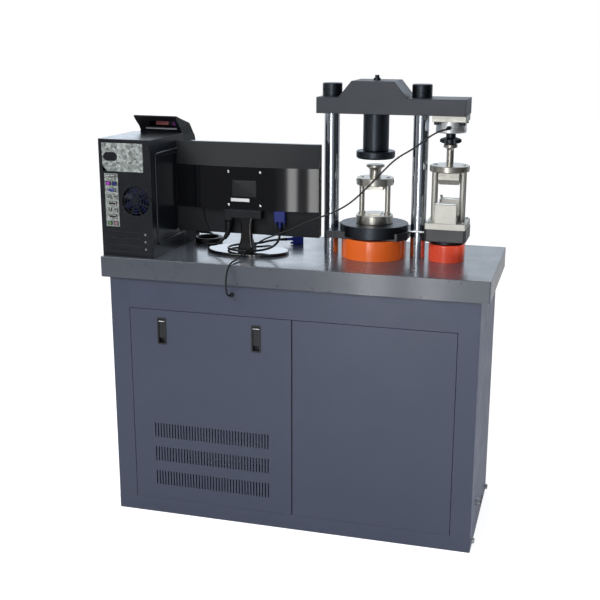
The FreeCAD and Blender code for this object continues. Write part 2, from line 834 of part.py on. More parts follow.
def compression_plunger():
    """T-headed plunger and the upper block under it."""
    r = jig_head_diameter / 2
    s = jig_stem_diameter / 2
    top = jig_head_top
    block_top = jig_plate_bottom - body_gap
    rim = top - jig_head_rim
    stem = turned([(0, block_top), (s, block_top), (s, rim - jig_head_cone), (s + 3, rim - jig_head_cone * 0.5),
                   (r - 3, rim - 1), (r, rim), (r, top - 1.5), (r - 1.5, top), (0, top)], main_x, frame_y)
    half_w = jig_upper_block_width / 2
    half_d = jig_upper_block_depth / 2
    block = box(main_x - half_w, main_x + half_w, frame_y - half_d, frame_y + half_d,
                block_top - jig_upper_block_height, block_top)
    for sign in (-1, 1):
        x = main_x + sign * jig_pillar_spacing / 2
        relief = jig_pillar_diameter + 6.0
        block = block.cut(rod(relief, block_top - jig_upper_block_height - 1, block_top + 1, x, frame_y))
    return stem, block


# Flexure unit


def load_cell_plate():
    """Square mounting plate under the crosshead's arm."""
    half = cell_plate_size / 2
    plate = box(flexure_x - half, flexure_x + half, frame_y - half, frame_y + half, cell_plate_bottom,
                crosshead_bottom)
    plate = rounded_upright(plate, 2.0)
    return plate


def load_cell_screws():
    """Four black socket screw heads under the plate's corners."""
    reach = cell_plate_size / 2 - cell_screw_inset
    r = cell_screw_head_diameter / 2
    solids = []
    for sx in (-1, 1):
        for sy in (-1, 1):
            x = flexure_x + sx * reach
            y = frame_y + sy * reach
            low = cell_plate_bottom - cell_screw_head_height
            head = turned([(0, low + 5), (4, low + 5), (4, low), (r - 1, low), (r, low + 1), (r, cell_plate_bottom),
                           (0, cell_plate_bottom)], x, y)
            solids.append(head)
    return solids


def load_cell():
    """Round load cell body with a shallow groove round its waist, relieved for the screw heads."""
    r = load_cell_diameter / 2
    c = load_cell_chamfer
    z0 = load_cell_bottom
    z1 = cell_plate_bottom
    mid = (z0 + z1) / 2
    body = turned([(0, z0), (r - c, z0), (r, z0 + c), (r, mid - 1.5), (r - 1.2, mid - 1.5), (r - 1.2, mid + 1.5),
                   (r, mid + 1.5), (r, z1), (0, z1)], flexure_x, frame_y)
    reach = cell_plate_size / 2 - cell_screw_inset
    for sx in (-1, 1):
        for sy in (-1, 1):
            body = body.cut(rod(cell_screw_head_diameter + 1, z1 - cell_screw_head_height - 0.5, z1 + 1,
                                flexure_x + sx * reach, frame_y + sy * reach))
    return body


def gland_z():
    """Height of the cable gland's axis."""
    return cell_plate_bottom - gland_drop


def gland_tip_y():
    """Depth at which the cable leaves the gland."""
    return frame_y - load_cell_diameter / 2 - gland_reach


def cable_glands():
    """Cable gland on the load cell and the gland where its cable enters the cabinet's rail."""
    root = frame_y - load_cell_diameter / 2 + 1.2
    tip = gland_tip_y()
    z = gland_z()
    stub = bar_y(gland_diameter - 4, tip + 5, root, flexure_x, z)
    hexagon = [(flexure_x + gland_diameter / 2 * math.cos(math.radians(60 * i)),
                z + gland_diameter / 2 * math.sin(math.radians(60 * i))) for i in range(6)]
    nut = prism_y(hexagon, tip + 8, root - 2)
    dome = bar_y(gland_diameter - 3, tip, tip + 8, flexure_x, z)
    gland = joined([stub, nut, dome]).cut(bar_y(cell_cable_diameter + 0.2, tip - 1, tip + 5, flexure_x, z))
    gland = gland.cut(load_cell())
    face = front_face_y
    shank = bar_y(gland_diameter - 2, face - 2, face + cabinet_sheet + 1, cable_entry_x, cable_entry_z)
    hexagon = [(cable_entry_x + gland_diameter / 2 * math.cos(math.radians(60 * i)),
                cable_entry_z + gland_diameter / 2 * math.sin(math.radians(60 * i))) for i in range(6)]
    outside = prism_y(hexagon, face - 6, face)
    inside = prism_y(hexagon, face + cabinet_sheet, face + cabinet_sheet + 5)
    dome = bar_y(gland_diameter - 3, face - entry_gland_reach, face - 6, cable_entry_x, cable_entry_z)
    bore = bar_y(cell_cable_diameter + 0.2, face - entry_gland_reach - 1, face + 20, cable_entry_x, cable_entry_z)
    entry = joined([shank, outside, inside, dome]).cut(bore)
    return gland, entry


def loading_button():
    """Black neck and conical wheel that presses on the flexure plunger."""
    n = button_neck_diameter / 2
    r = button_wheel_diameter / 2
    z1 = load_cell_bottom
    shoulder = z1 - button_neck_length
    low = button_bottom
    wheel = turned([(0, low), (n, low), (r - 5, low + 3), (r, low + 6), (r, shoulder - 7), (r - 4, shoulder - 4),
                    (n, shoulder), (n, z1), (0, z1)], flexure_x, frame_y)
    grips = []
    for i in range(button_grips):
        turn = math.radians(360 * (i + 0.5) / button_grips)
        reach = r + button_grip_diameter / 2 - button_grip_depth
        grips.append(rod(button_grip_diameter, low - 1, shoulder, flexure_x + reach * math.cos(turn),
                         frame_y + reach * math.sin(turn)))
    return wheel.cut(Part.makeCompound(grips))


def flexure_cylinder():
    """Small orange cylinder of the flexure unit."""
    return cylinder_body(flexure_x, flexure_cylinder_diameter, flexure_cylinder_top, flexure_cylinder_lower_diameter,
                         flexure_cylinder_lower_end, flexure_ram_diameter, flexure_ram_bottom - 2)


def flexure_ram():
    """Flanged ram that carries the square block."""
    r = flexure_ram_diameter / 2
    f = flexure_ram_flange_diameter / 2
    z = flexure_cylinder_top + body_gap
    return turned([(0, flexure_ram_bottom), (r - 1.5, flexure_ram_bottom), (r, flexure_ram_bottom + 1.5), (r, z),
                   (f - 3, z), (f, z + 3), (f, ram_block_bottom), (0, ram_block_bottom)], flexure_x, frame_y)


def ram_block():
    """Dark square block with bevelled lower corners on the flexure ram."""
    half_w = ram_block_width / 2
    half_d = ram_block_depth / 2
    c = ram_block_chamfer
    block = box(flexure_x - half_w, flexure_x + half_w, frame_y - half_d, frame_y + half_d, ram_block_bottom,
                ram_block_top)
    block = block.makeChamfer(c, edges_along(block, V(0, 0, 1)))
    return block.makeChamfer(2.0, edges_at_height(block, ram_block_bottom))


def guide_bars():
    """Pair of thin bars on the ram block that pass before and behind the right column."""
    x1 = flexure_x - ram_block_width / 2
    x0 = main_x + guide_plate_right_reach + 3 * body_gap
    offset = column_diameter / 2 + guide_bar_diameter / 2 + body_gap
    return [bar_x(guide_bar_diameter, x0, x1, frame_y + sign * offset, guide_bar_z) for sign in (-1, 1)]


# Flexure jig


def flexure_jig_base():
    """Square base plate on the ram block."""
    half = flexure_base_size / 2
    plate = box(flexure_x - half, flexure_x + half, frame_y - half, frame_y + half, ram_block_top, flexure_base_top)
    plate = rounded_upright(plate, 2.0)
    return plate.makeChamfer(1.0, edges_at_height(plate, flexure_base_top))


def roller_seat(y, z, length):
    """Half-round trough for a roller along X."""
    seat = bar_x(roller_diameter + 2 * running_clearance, flexure_x - length / 2 - 0.5, flexure_x + length / 2 + 0.5,
                 y, z)
    return seat


def support_roller_z():
    """Height of the support rollers' axes."""
    return support_block_top - 1.0


def flexure_jig_block():
    """Support block: two end walls that carry the rollers, joined by a web, and a stop pin."""
    half_w = support_block_width / 2
    half_l = support_block_length / 2
    z0 = flexure_base_top
    z1 = support_block_top
    inner = half_l - support_wall
    outline = [(-half_l, z0), (-half_l, z1 - 2), (-half_l + 2, z1), (-inner, z1), (-inner + 5, z0 + support_web),
               (inner - 5, z0 + support_web), (inner, z1), (half_l - 2, z1), (half_l, z1 - 2), (half_l, z0)]
    block = prism_x([(frame_y + y, z) for y, z in outline], flexure_x - half_w, flexure_x + half_w)
    for sign in (-1, 1):
        seat = roller_seat(frame_y + sign * support_span / 2, support_roller_z(), support_roller_length)
        block = block.cut(seat)
    pin = turned([(0, z1), (2.2, z1), (2.2, z1 + 6), (4.2, z1 + 7), (4.2, z1 + 12), (3.4, z1 + 13), (0, z1 + 13)],
                 flexure_x - half_w + 5, frame_y + inner + 3.5)
    return block, pin


def roller(y, z, length):
    """Hardened roller along X with eased ends."""
    pin = bar_x(roller_diameter, flexure_x - length / 2, flexure_x + length / 2, y, z)
    return pin.makeChamfer(0.8, [e for e in pin.Edges if e.BoundBox.XLength < 0.01])


def flexure_jig_pillars():
    """Two pillars between the base plate and the guide plate."""
    r = flexure_pillar_diameter / 2
    solids = []
    for sign in (-1, 1):
        x = flexure_x + sign * flexure_pillar_spacing / 2
        solids.append(turned([(0, flexure_base_top), (r, flexure_base_top), (r, flexure_plate_bottom),
                              (0, flexure_plate_bottom)], x, frame_y))
    return solids


def flexure_jig_guide():
    """Round guide plate on the pillars, bored for the plunger stem."""
    r = flexure_plate_diameter / 2
    c = 1.5
    bore = flexure_stem_diameter / 2 + running_clearance
    z0 = flexure_plate_bottom
    z1 = flexure_plate_top
    return turned([(bore, z0), (r - c, z0), (r, z0 + c), (r, z1 - c), (r - c, z1), (bore, z1)], flexure_x, frame_y)


def flexure_plunger():
    """Plunger with a round head on a slim stem."""
    r = flexure_head_diameter / 2
    s = flexure_stem_diameter / 2
    top = flexure_head_top
    rim = top - flexure_head_height
    low = flexure_plate_bottom - body_gap
    return turned([(0, low), (s, low), (s, rim - 6), (s + 2, rim - 2), (s + 5, rim), (r - 1, rim), (r, rim + 1),
                   (r, top - 1.5), (r - 1.5, top), (0, top)], flexure_x, frame_y)


def loading_roller_z():
    """Height of the loading roller's axis under its block."""
    return flexure_plate_bottom - body_gap - flexure_upper_block_height + 1.0


def flexure_upper_block():
    """Block under the plunger with a trough for the loading roller and keeper plates at its ends."""
    half_w = flexure_upper_block_width / 2
    half_d = flexure_upper_block_depth / 2
    top = flexure_plate_bottom - body_gap
    low = top - flexure_upper_block_height
    outline = [(frame_y - half_d, top), (frame_y - half_d, low + 12), (frame_y - 9, low), (frame_y + 9, low),
               (frame_y + half_d, low + 12), (frame_y + half_d, top)]
    block = prism_x(outline, flexure_x - half_w, flexure_x + half_w)
    block = block.cut(roller_seat(frame_y, loading_roller_z(), loading_roller_length))
    for sign in (-1, 1):
        x = flexure_x + sign * flexure_pillar_spacing / 2
        block = block.cut(rod(flexure_pillar_diameter + 2.0, low - 1, top + 1, x, frame_y))
    return block


# Power pack and electrics


def oil_tank():
    """Welded tank on four feet with a flanged lid and a filler cap."""
    x0 = tank_centre_x - tank_length / 2
    x1 = tank_centre_x + tank_length / 2
    y0 = frame_y - tank_depth / 2
    y1 = frame_y + tank_depth / 2
    z0 = plinth_height + tank_foot
    z1 = z0 + tank_height
    outer = rounded_upright(box(x0, x1, y0, y1, z0, z1), 12.0)
    inner = box(x0 + tank_wall, x1 - tank_wall, y0 + tank_wall, y1 - tank_wall, z0 + tank_wall, z1 - tank_wall)
    parts = [outer.cut(inner)]
    for x in (x0 + 12, x1 - 42):
        for y in (y0 + 12, y1 - 42):
            parts.append(box(x, x + 30, y, y + 30, plinth_height, z0))
    lid = box(x0 - 8, x1 + 8, y0 - 8, y1 + 8, z1, z1 + 4)
    cap = rod(52.0, z1 + 4, z1 + 30, x1 - 60, y1 - 60)
    return joined(parts + [lid, cap])


def pump_motor():
    """Finned electric motor lying on its foot plate, with the pump on its drive end."""
    z = plinth_height + motor_diameter / 2 + 30
    x0 = motor_x - motor_length / 2
    x1 = motor_x + motor_length / 2
    body = bar_x(motor_diameter, x0, x1, motor_y, z)
    fins = []
    for i in range(12):
        angle = math.radians(30 * i)
        fin = box(x0 + 25, x1 - 35, -2, 2, motor_diameter / 2 - 3, motor_diameter / 2 + 7)
        fin.rotate(V(0, 0, 0), V(1, 0, 0), math.degrees(angle))
        fin.translate(V(0, motor_y, z))
        fins.append(fin)
    cowl = bar_x(motor_diameter + 12, x0 - 30, x0 + 15, motor_y, z)
    box_top = box(motor_x - 45, motor_x + 45, motor_y - 40, motor_y + 40, z + motor_diameter / 2 - 8,
                  z + motor_diameter / 2 + 45)
    feet = box(x0 + 30, x1 - 40, motor_y - 70, motor_y + 70, plinth_height, plinth_height + 10)
    rib_a = box(x0 + 45, x0 + 57, motor_y - 50, motor_y + 50, plinth_height + 10, z)
    rib_b = box(x1 - 67, x1 - 55, motor_y - 50, motor_y + 50, plinth_height + 10, z)
    motor = joined([body, cowl, box_top, feet, rib_a, rib_b] + fins)
    bell = Part.makeCone(motor_diameter / 2, pump_diameter / 2, 50, V(x1, motor_y, z), V(1, 0, 0))
    pump = joined([bell, bar_x(pump_diameter, x1 + 50, x1 + 50 + pump_length, motor_y, z)])
    return motor, pump


def pump_end_x():
    """Free end of the pump."""
    return motor_x + motor_length / 2 + 50 + pump_length


def pump_axis_z():
    """Height of the motor and pump axis."""
    return plinth_height + motor_diameter / 2 + 30


def pipe(points, bend):
    """Steel pipe of straight lengths joined by bends."""
    return route_tube(points, pipe_diameter, [bend] * (len(points) - 2))


def valve_block():
    """Valve manifold on the tank's lid with a valve, a pressure sensor and the pipes to both cylinders."""
    z0 = plinth_height + tank_foot + tank_height + 4
    x = tank_centre_x - 70
    y = frame_y - 60
    half = valve_block_size / 2
    block = box(x - half, x + half, y - half, y + half, z0, z0 + 80)
    block = block.makeChamfer(3.0, block.Edges)
    valve = box(x - half + 12, x + half + 30, y - 22, y + 22, z0 + 80, z0 + 124)
    sensor = rod(26.0, z0 + 80, z0 + 140, x - half + 10, y + 30)
    manifold = joined([block, valve, sensor])
    pump_line = pipe([V(pump_end_x(), motor_y, pump_axis_z()), V(pump_end_x() + 85, motor_y, pump_axis_z()),
                      V(pump_end_x() + 85, motor_y, z0 + 40), V(pump_end_x() + 85, y, z0 + 40), V(x - half, y, z0 + 40)],
                     18.0)
    main_line = pipe([V(x + half, y, z0 + 40), V(x + half + 50, y, z0 + 40), V(x + half + 50, y, z0 + 190),
                      V(x + half + 50, frame_y, z0 + 190), V(main_x + 57, frame_y, z0 + 190),
                      V(main_x + 57, frame_y, main_cylinder_lower_end)], 18.0)
    flexure_line = pipe([V(x + 20, y + half, z0 + 30), V(x + 20, y + half + 50, z0 + 30),
                         V(flexure_x, y + half + 50, z0 + 30), V(flexure_x, y + half + 50, z0 + 120),
                         V(flexure_x, frame_y, z0 + 120), V(flexure_x, frame_y, flexure_cylinder_lower_end)], 18.0)
    return manifold, pump_line, main_line, flexure_line


def electrics_box():
    """Control enclosure on the left side panel."""
    x0 = -side_face_x + cabinet_sheet
    z0 = 330.0
    y0 = -electrics_width / 2
    shell = box(x0, x0 + electrics_depth, y0, y0 + electrics_width, z0, z0 + electrics_height)
    door = box(x0 + electrics_depth, x0 + electrics_depth + 3, y0 + 6, y0 + electrics_width - 6, z0 + 6,
               z0 + electrics_height - 6)
    core = box(x0 + 2, x0 + electrics_depth - 2, y0 + 2, y0 + electrics_width - 2, z0 + 2, z0 + electrics_height - 2)
    return joined([shell.cut(core), door])


def push_button(x, diameter, travel, crown):
    """Button head and its plunger through the rear rail."""
    y = rear_face_y
    r = diameter / 2
    stem = bar_y(diameter * 0.6 - 2 * running_clearance, y - 2 * cabinet_sheet, y + travel + 1, x, control_z)
    profile = [(0, travel + 0.5), (r, travel + 0.5), (r, travel + 0.5 + crown * 0.5), (r * 0.8, travel + 0.5 + crown),
               (0, travel + 0.5 + crown)]
    points = [V(radius, 0, z) for radius, z in profile]
    head = Part.Face(Part.makePolygon(points + [points[0]])).revolve(V(0, 0, 0), V(0, 0, 1), 360)
    head.rotate(V(0, 0, 0), V(1, 0, 0), -90)
    head.translate(V(x, y, control_z))
    return joined([stem, head])


# Control computer, built square to the axes and then turned on the worktop
psu_x = (11.0, 144.0)
psu_z = (pc_height - 94.0, pc_height - 11.0)
shield_x = (16.0, 60.0)
shield_z = (90.0, 248.0)
slots_x = (14.0, 128.0)
slots_z = (18.0, 78.0)
slot_covers = 3
inlet_width = 46.0
inlet_height = 26.0
inlet_corner = 8.0
inlet_rim = 3.5
psu_lip_inset = 50.0
port_rows = 8
port_margin = 3.5
emboss_height = 3.0
emboss_width = 13.0


def pc_place(shape):
    """Turn the computer slightly and stand it at its corner of the worktop."""
    placed = shape.copy()
    placed.rotate(V(0, 0, 0), V(0, 0, 1), pc_turn)
    placed.translate(V(pc_corner_x, pc_corner_y, worktop_height))
    return placed


def pc_fan_centre():
    """Fan axis in the case's own X and Z."""
    return 115.0, 169.0


def pc_case():
    """Steel case: shell with openings at its back, embossed side and fan guard."""
    w = pc_width
    h = pc_height
    d = pc_case_depth
    t = pc_sheet
    shell = box(0, w, 0, d, 0, h).cut(box(t, w - t, t, d - t, t, h - t))
    openings = [box(*psu_x, -1, t + 1, *psu_z), box(*shield_x, -1, t + 1, *shield_z),
                box(*slots_x, -1, t + 1, *slots_z)]
    shell = shell.cut(Part.makeCompound(openings))
    fx, fz = pc_fan_centre()
    ring_cuts = []
    for i in range(4):
        outer = 8.0 + 9.0 * (i + 1)
        ring_cuts.append(bar_y(2 * outer, -1, t + 1, fx, fz).cut(bar_y(2 * outer - 13, -2, t + 2, fx, fz)))
    rings = Part.makeCompound(ring_cuts)
    spokes = []
    for i in range(4):
        spoke = box(-50, 50, -2, t + 2, -1.6, 1.6)
        spoke.rotate(V(0, 0, 0), V(0, 1, 0), 45 * i + 20)
        spoke.translate(V(fx, 0, fz))
        spokes.append(spoke)
    shell = shell.cut(rings.cut(Part.makeCompound(spokes)))
    clamp = box(slots_x[1] + 4, slots_x[1] + 25, -1, 0.8, slots_z[0] - 4, slots_z[1] + 4)
    rim = w + emboss_height
    outer = box(w - t / 2, rim, 30, d - 20, 32, h - 40)
    outer = outer.makeFillet(16.0, edges_along(outer, V(1, 0, 0)))
    inner = box(w - t / 2, rim + 1, 30 + emboss_width, d - 20 - emboss_width, 32 + emboss_width, h - 40 - emboss_width)
    inner = inner.makeFillet(8.0, edges_along(inner, V(1, 0, 0)))
    emboss = outer.cut(inner)
    emboss = emboss.makeFillet(emboss_height * 0.8, [e for e in emboss.Edges if e.BoundBox.XMin > rim - 0.01])
    return joined([shell.cut(clamp), emboss])


def inlet_outline(grow=0.0):
    """Corners of the mains inlet's opening in the power supply's face, grown outwards."""
    cx = psu_x[0] + 28
    cz = psu_z[0] + 43
    w = inlet_width / 2 + grow
    h = inlet_height / 2 + grow
    c = inlet_corner
    return [(cx - w, cz - h + c), (cx - w + c, cz - h), (cx + w - c, cz - h), (cx + w, cz - h + c),
            (cx + w, cz + h - c), (cx + w - c, cz + h), (cx - w + c, cz + h), (cx - w, cz + h - c)]


def port_openings():
    """Openings in the connector shield: pairs of small sockets between single wide ones."""
    x0, x1 = shield_x
    pitch = (shield_z[1] - shield_z[0]) / port_rows
    openings = []
    for i in range(port_rows):
        low = shield_z[0] + pitch * i + port_margin
        high = shield_z[0] + pitch * (i + 1) - port_margin
        if i % 2:
            openings.append(box(x0 + port_margin * 2, x1 - port_margin * 2, -1, pc_sheet + 1, low, high))
        else:
            middle = (x0 + x1) / 2
            openings.append(box(x0 + port_margin, middle - port_margin / 2, -1, pc_sheet + 1, low, high))
            openings.append(box(middle + port_margin / 2, x1 - port_margin, -1, pc_sheet + 1, low, high))
    return Part.makeCompound(openings)


def pc_rear_plates():
    """Power supply face with its inlet's rim, and the connector shield, at the back."""
    t = pc_sheet
    c = seat_clearance
    x0, x1 = psu_x
    z0, z1 = psu_z
    outline = [(x0 + c, z0 + 17), (x0 + 15, z0 + c), (x1 - c, z0 + c), (x1 - c, z1 - c), (x0 + c, z1 - c)]
    face = prism_y(outline, -0.8, t)
    rim = prism_y(inlet_outline(inlet_rim), -2.4, 0)
    lip = box(x0 + psu_lip_inset, x1 - c, -3.0, 0, z0 + c, z0 + 3)
    face = joined([face, rim, lip]).cut(prism_y(inlet_outline(), -3, t + 1))
    x0, x1 = shield_x
    shield = box(x0 + c, x1 - c, -0.6, t, shield_z[0] + c, shield_z[1] - c)
    return face, shield.cut(port_openings())


def pc_inserts():
    """Inlet socket with its three pins, sockets behind the shield, and the slot covers."""
    t = pc_sheet
    c = seat_clearance
    socket = prism_y(inlet_outline(1.5), t + c, t + 12)
    cx = psu_x[0] + 28
    cz = psu_z[0] + 43
    pins = [box(cx + dx - 1, cx + dx + 1, -1, t + 1, cz + dz - 2.5, cz + dz + 2.5) for dx, dz in ((-7, -3), (0, 4), (7, -3))]
    sockets = box(shield_x[0], shield_x[1], t + c, t + 10, *shield_z)
    covers = []
    for i in range(slot_covers):
        pitch = (slots_z[1] - slots_z[0]) / slot_covers
        z = slots_z[0] + pitch * i
        covers.append(box(slots_x[0] + c, slots_x[1] - c, 0, t, z + 1.5, z + pitch - 1.5))
    backing = box(slots_x[0] - 2, slots_x[1] + 2, t + c, t + 1.5, slots_z[0] - 2, slots_z[1] + 2)
    strips = [box(slots_x[0] + c, slots_x[0] + 4, 0.5, t + c, slots_z[0] + c, slots_z[1] - c)]
    return joined([socket] + pins), sockets, joined(covers + strips + [backing])


def pc_fan():
    """Seven bladed rotor behind the fan guard."""
    fx, fz = pc_fan_centre()
    y0 = pc_sheet + 4
    hub = bar_y(pc_fan_hub, y0, y0 + 16, fx, fz)
    reach = pc_fan_diameter / 2
    blades = []
    for i in range(7):
        blade = box(pc_fan_hub / 2 - 2, reach, -1.2, 1.2, -11, 11)
        blade.rotate(V(0, 0, 0), V(1, 0, 0), 35)
        blade.rotate(V(0, 0, 0), V(0, 1, 0), 360 * i / 7)
        blade.translate(V(fx, y0 + 8, fz))
        blades.append(blade)
    rotor = joined([hub] + blades)
    limit = bar_y(pc_fan_diameter, y0, y0 + 16, fx, fz)
    return rotor.common(limit)


def pc_fan_frame():
    """Square fan frame fixed to the case's back, with the bearing stub."""
    fx, fz = pc_fan_centre()
    half = pc_fan_diameter / 2 + 4
    y0 = pc_sheet
    y1 = pc_sheet + 25
    outer = box(fx - half, fx + half, y0, y1, fz - half, fz + half)
    hole = bar_y(pc_fan_diameter + 3, y0 - 1, y1 + 1, fx, fz)
    frame = outer.cut(hole)
    arm_a = box(fx - half, fx + half, y1 - 3, y1, fz - 2, fz + 2)
    arm_b = box(fx - 2, fx + 2, y1 - 3, y1, fz - half, fz + half)
    seat = bar_y(pc_fan_hub, y1 - 4, y1, fx, fz)
    return joined([frame, arm_a, arm_b, seat])


def pc_bezel():
    """Moulded front bezel that leans back over the case, open behind, with waisted ends."""
    w = pc_width
    h = pc_height
    d0 = pc_case_depth
    d1 = pc_case_depth + pc_bezel_depth
    back = d0 - pc_bezel_overhang
    top = h + pc_bezel_rise
    outline = [(d0, 0), (d1 - 22, 0), (d1 - 8, 28), (d1, h - 70), (d1, h - 14), (d1 - 27, h + 25),
               (back + 5, top), (back, top - 3), (back + 7, top - 17), (d0 - 7, h + 12), (d0, h + 1)]
    body = prism_x(outline, 0, w)
    body = body.makeFillet(6.0, [e for e in edges_along(body, V(1, 0, 0)) if e.BoundBox.YMin > d1 - 28])
    left = prism_y([(-1, h - 30), (12, h - 8), (pc_waist, h + 4), (pc_waist, h + 18), (15, top - 6), (14, top + 1),
                    (-1, top + 1)], back - 1, d1 + 1)
    right = prism_y([(w + 1, h - 30), (w - 4, h - 8), (w - 6, h + 20), (w - 11, top - 8), (w - 11, top + 1),
                     (w + 1, top + 1)], back - 1, d1 + 1)
    window = box(62, 150, back - 1, d0 + 22, h + 17, h + 36)
    slot = box(40, 150, back - 1, d0 + 4, h + 8.5, h + 14.5)
    return body.cut(left).cut(right).cut(window).cut(slot)


# Monitor


def monitor_half_width():
    """Half of the monitor's width."""
    return monitor_width / 2


def band_outline(x0, x1, z):
    """Wire at height z: straight along the screen, and bowed towards the back of the display."""
    edge = monitor_y - band_edge_depth
    left = V(x0, edge, z)
    right = V(x1, edge, z)
    bow = Part.Arc(left, V((x0 + x1) / 2, edge - band_bulge, z), right).toShape()
    lines = [Part.LineSegment(right, V(x1, monitor_y, z)), Part.LineSegment(V(x1, monitor_y, z), V(x0, monitor_y, z)),
             Part.LineSegment(V(x0, monitor_y, z), left)]
    return Part.Wire([bow] + [line.toShape() for line in lines])


def monitor_cover():
    """Rear cover: bowed gloss band, matte slope above it, matte flat below, with the hinge cover and inlet."""
    x0 = monitor_centre_x - monitor_half_width()
    x1 = monitor_centre_x + monitor_half_width()
    y = monitor_y
    band = Part.Face(band_outline(x0, x1, band_bottom_z)).extrude(V(0, 0, band_top_z - band_bottom_z))
    rim = [V(x0, y - 2, monitor_top), V(x1, y - 2, monitor_top), V(x1, y, monitor_top), V(x0, y, monitor_top)]
    top = Part.Wire([Part.LineSegment(a, b).toShape() for a, b in zip(rim, rim[1:] + rim[:1])])
    slope = Part.makeLoft([band_outline(x0, x1, band_top_z), top], True, True)
    lower = prism_x([(y, monitor_bottom), (y, band_bottom_z + 1), (y - matte_depth, band_bottom_z + 1),
                     (y - matte_depth + 4, monitor_bottom)], x0, x1)
    cover = joined([band, slope, lower])
    cx = monitor_centre_x + 2
    half = hinge_cover_width / 2
    recess = prism_y([(recess_left_x, band_bottom_z), (recess_left_x + 6, band_bottom_z - 40),
                      (recess_left_x + 22, monitor_bottom - 1), (recess_right_x, monitor_bottom - 1),
                      (recess_right_x, band_bottom_z)], y - matte_depth - 1, y - matte_depth + recess_depth)
    cover = cover.cut(recess)
    hood = box(cx - half, cx + half, y - hood_depth, y - 2, band_bottom_z - hinge_cover_height, band_bottom_z + 1)
    hood = hood.makeFillet(4.0, edges_along(hood, V(1, 0, 0)))
    cover = joined([cover, hood])
    barrel_half = hinge_barrel_length / 2 + 0.5
    pocket = bar_x(hinge_barrel_diameter + 2 * body_gap, cx - barrel_half, cx + barrel_half, hinge_y, hinge_z)
    swing = box(cx - barrel_half, cx + barrel_half, hinge_y - 12.5, hinge_y + 13, band_bottom_z - hinge_cover_height - 6,
                hinge_z)
    inlet = box(power_inlet_x - power_plug_width / 2, power_inlet_x + power_plug_width / 2,
                port_y - power_plug_depth / 2, port_y + power_plug_depth / 2, band_bottom_z - power_plug_length,
                band_bottom_z)
    inlet = inlet.makeFillet(4.0, edges_along(inlet, V(0, 0, 1)))
    return cover.cut(pocket).cut(swing).cut(inlet), inlet


def monitor_screen():
    """Front frame round the screen, with the panel set in it."""
    x0 = monitor_centre_x - monitor_half_width()
    x1 = monitor_centre_x + monitor_half_width()
    y0 = monitor_y
    y1 = monitor_y + monitor_frame_depth
    frame = box(x0, x1, y0, y1, monitor_bottom, monitor_top)
    frame = frame.makeFillet(4.0, edges_along(frame, V(0, 1, 0)))
    return frame.cut(box(x0 + 16, x1 - 16, y1 - 3, y1 + 1, monitor_bottom + 26, monitor_top - 16))


def monitor_neck():
    """Waisted neck, wide at the foot and flared again up to its hinge barrel."""
    cx = monitor_centre_x + 2
    barrel = bar_x(hinge_barrel_diameter, cx - hinge_barrel_length / 2, cx + hinge_barrel_length / 2, hinge_y, hinge_z)
    foot_z = worktop_height + foot_thickness
    profiles = [(neck_base_width, neck_depth + 14, foot_z), (neck_base_width - 6, neck_depth + 10, foot_z + 14),
                (neck_width + 2, neck_depth, foot_z + 36), (neck_width, neck_depth - 3, foot_z + 54),
                (neck_width, neck_depth - 5, hinge_z - 28), (neck_width + 4, neck_depth - 6, hinge_z - 16),
                (hinge_barrel_length, neck_depth - 6, hinge_z)]
    wires = []
    for width, depth, z in profiles:
        section = rounded_upright(box(cx - width / 2, cx + width / 2, hinge_y - depth / 2, hinge_y + depth / 2, z,
                                      z + 1), min(depth / 2 - 0.5, 7.0))
        rim = [face for face in section.Faces if abs(face.CenterOfMass.z - z) < 0.01]
        wires.append(rim[0].OuterWire)
    stem = Part.makeLoft(wires, True, False)
    return joined([barrel, stem])


def monitor_foot():
    """Oval foot with a softly rounded upper edge."""
    ellipse = Part.Ellipse(V(foot_centre_x, foot_centre_y, worktop_height), foot_width / 2, foot_depth / 2)
    face = Part.Face(Part.Wire([ellipse.toShape()]))
    foot = face.extrude(V(0, 0, foot_thickness))
    return foot.makeFillet(3.5, edges_at_height(foot, worktop_height + foot_thickness))


def plug_body():
    """Signal plug standing on its tail: wide housing, two thumb screws' bosses and a tapered tail."""
    half_w = plug_width / 2
    half_d = plug_depth / 2
    housing = box(-half_w, half_w, -half_d, half_d, plug_tail_length, plug_tail_length + plug_height)
    housing = housing.makeFillet(3.5, edges_along(housing, V(0, 0, 1)))
    tail = Part.makeCone(signal_cable_diameter / 2 + 0.6, plug_tail_diameter / 2, plug_tail_length, V(0, 0, 0),
                         V(0, 0, 1))
    bosses = [rod(6.5, plug_tail_length - 8, plug_tail_length + 4, sign * (half_w - 5), 0) for sign in (-1, 1)]
    return joined([housing, tail] + bosses)


def monitor_plug():
    """Plug in the monitor's socket, its tail pointing down."""
    plug = plug_body()
    plug.translate(V(signal_plug_x, port_y, band_bottom_z - plug_height - plug_tail_length))
    return plug


# Leads


def route_radii(points):
    """Largest bend radius that both runs of each corner leave room for."""
    radii = []
    for before, here, after in zip(points, points[1:], points[2:]):
        a = (here - before)
        b = (after - here)
        turn = a.getAngle(b)
        radii.append(0.45 * min(a.Length, b.Length) / math.tan(turn / 2))
    return radii


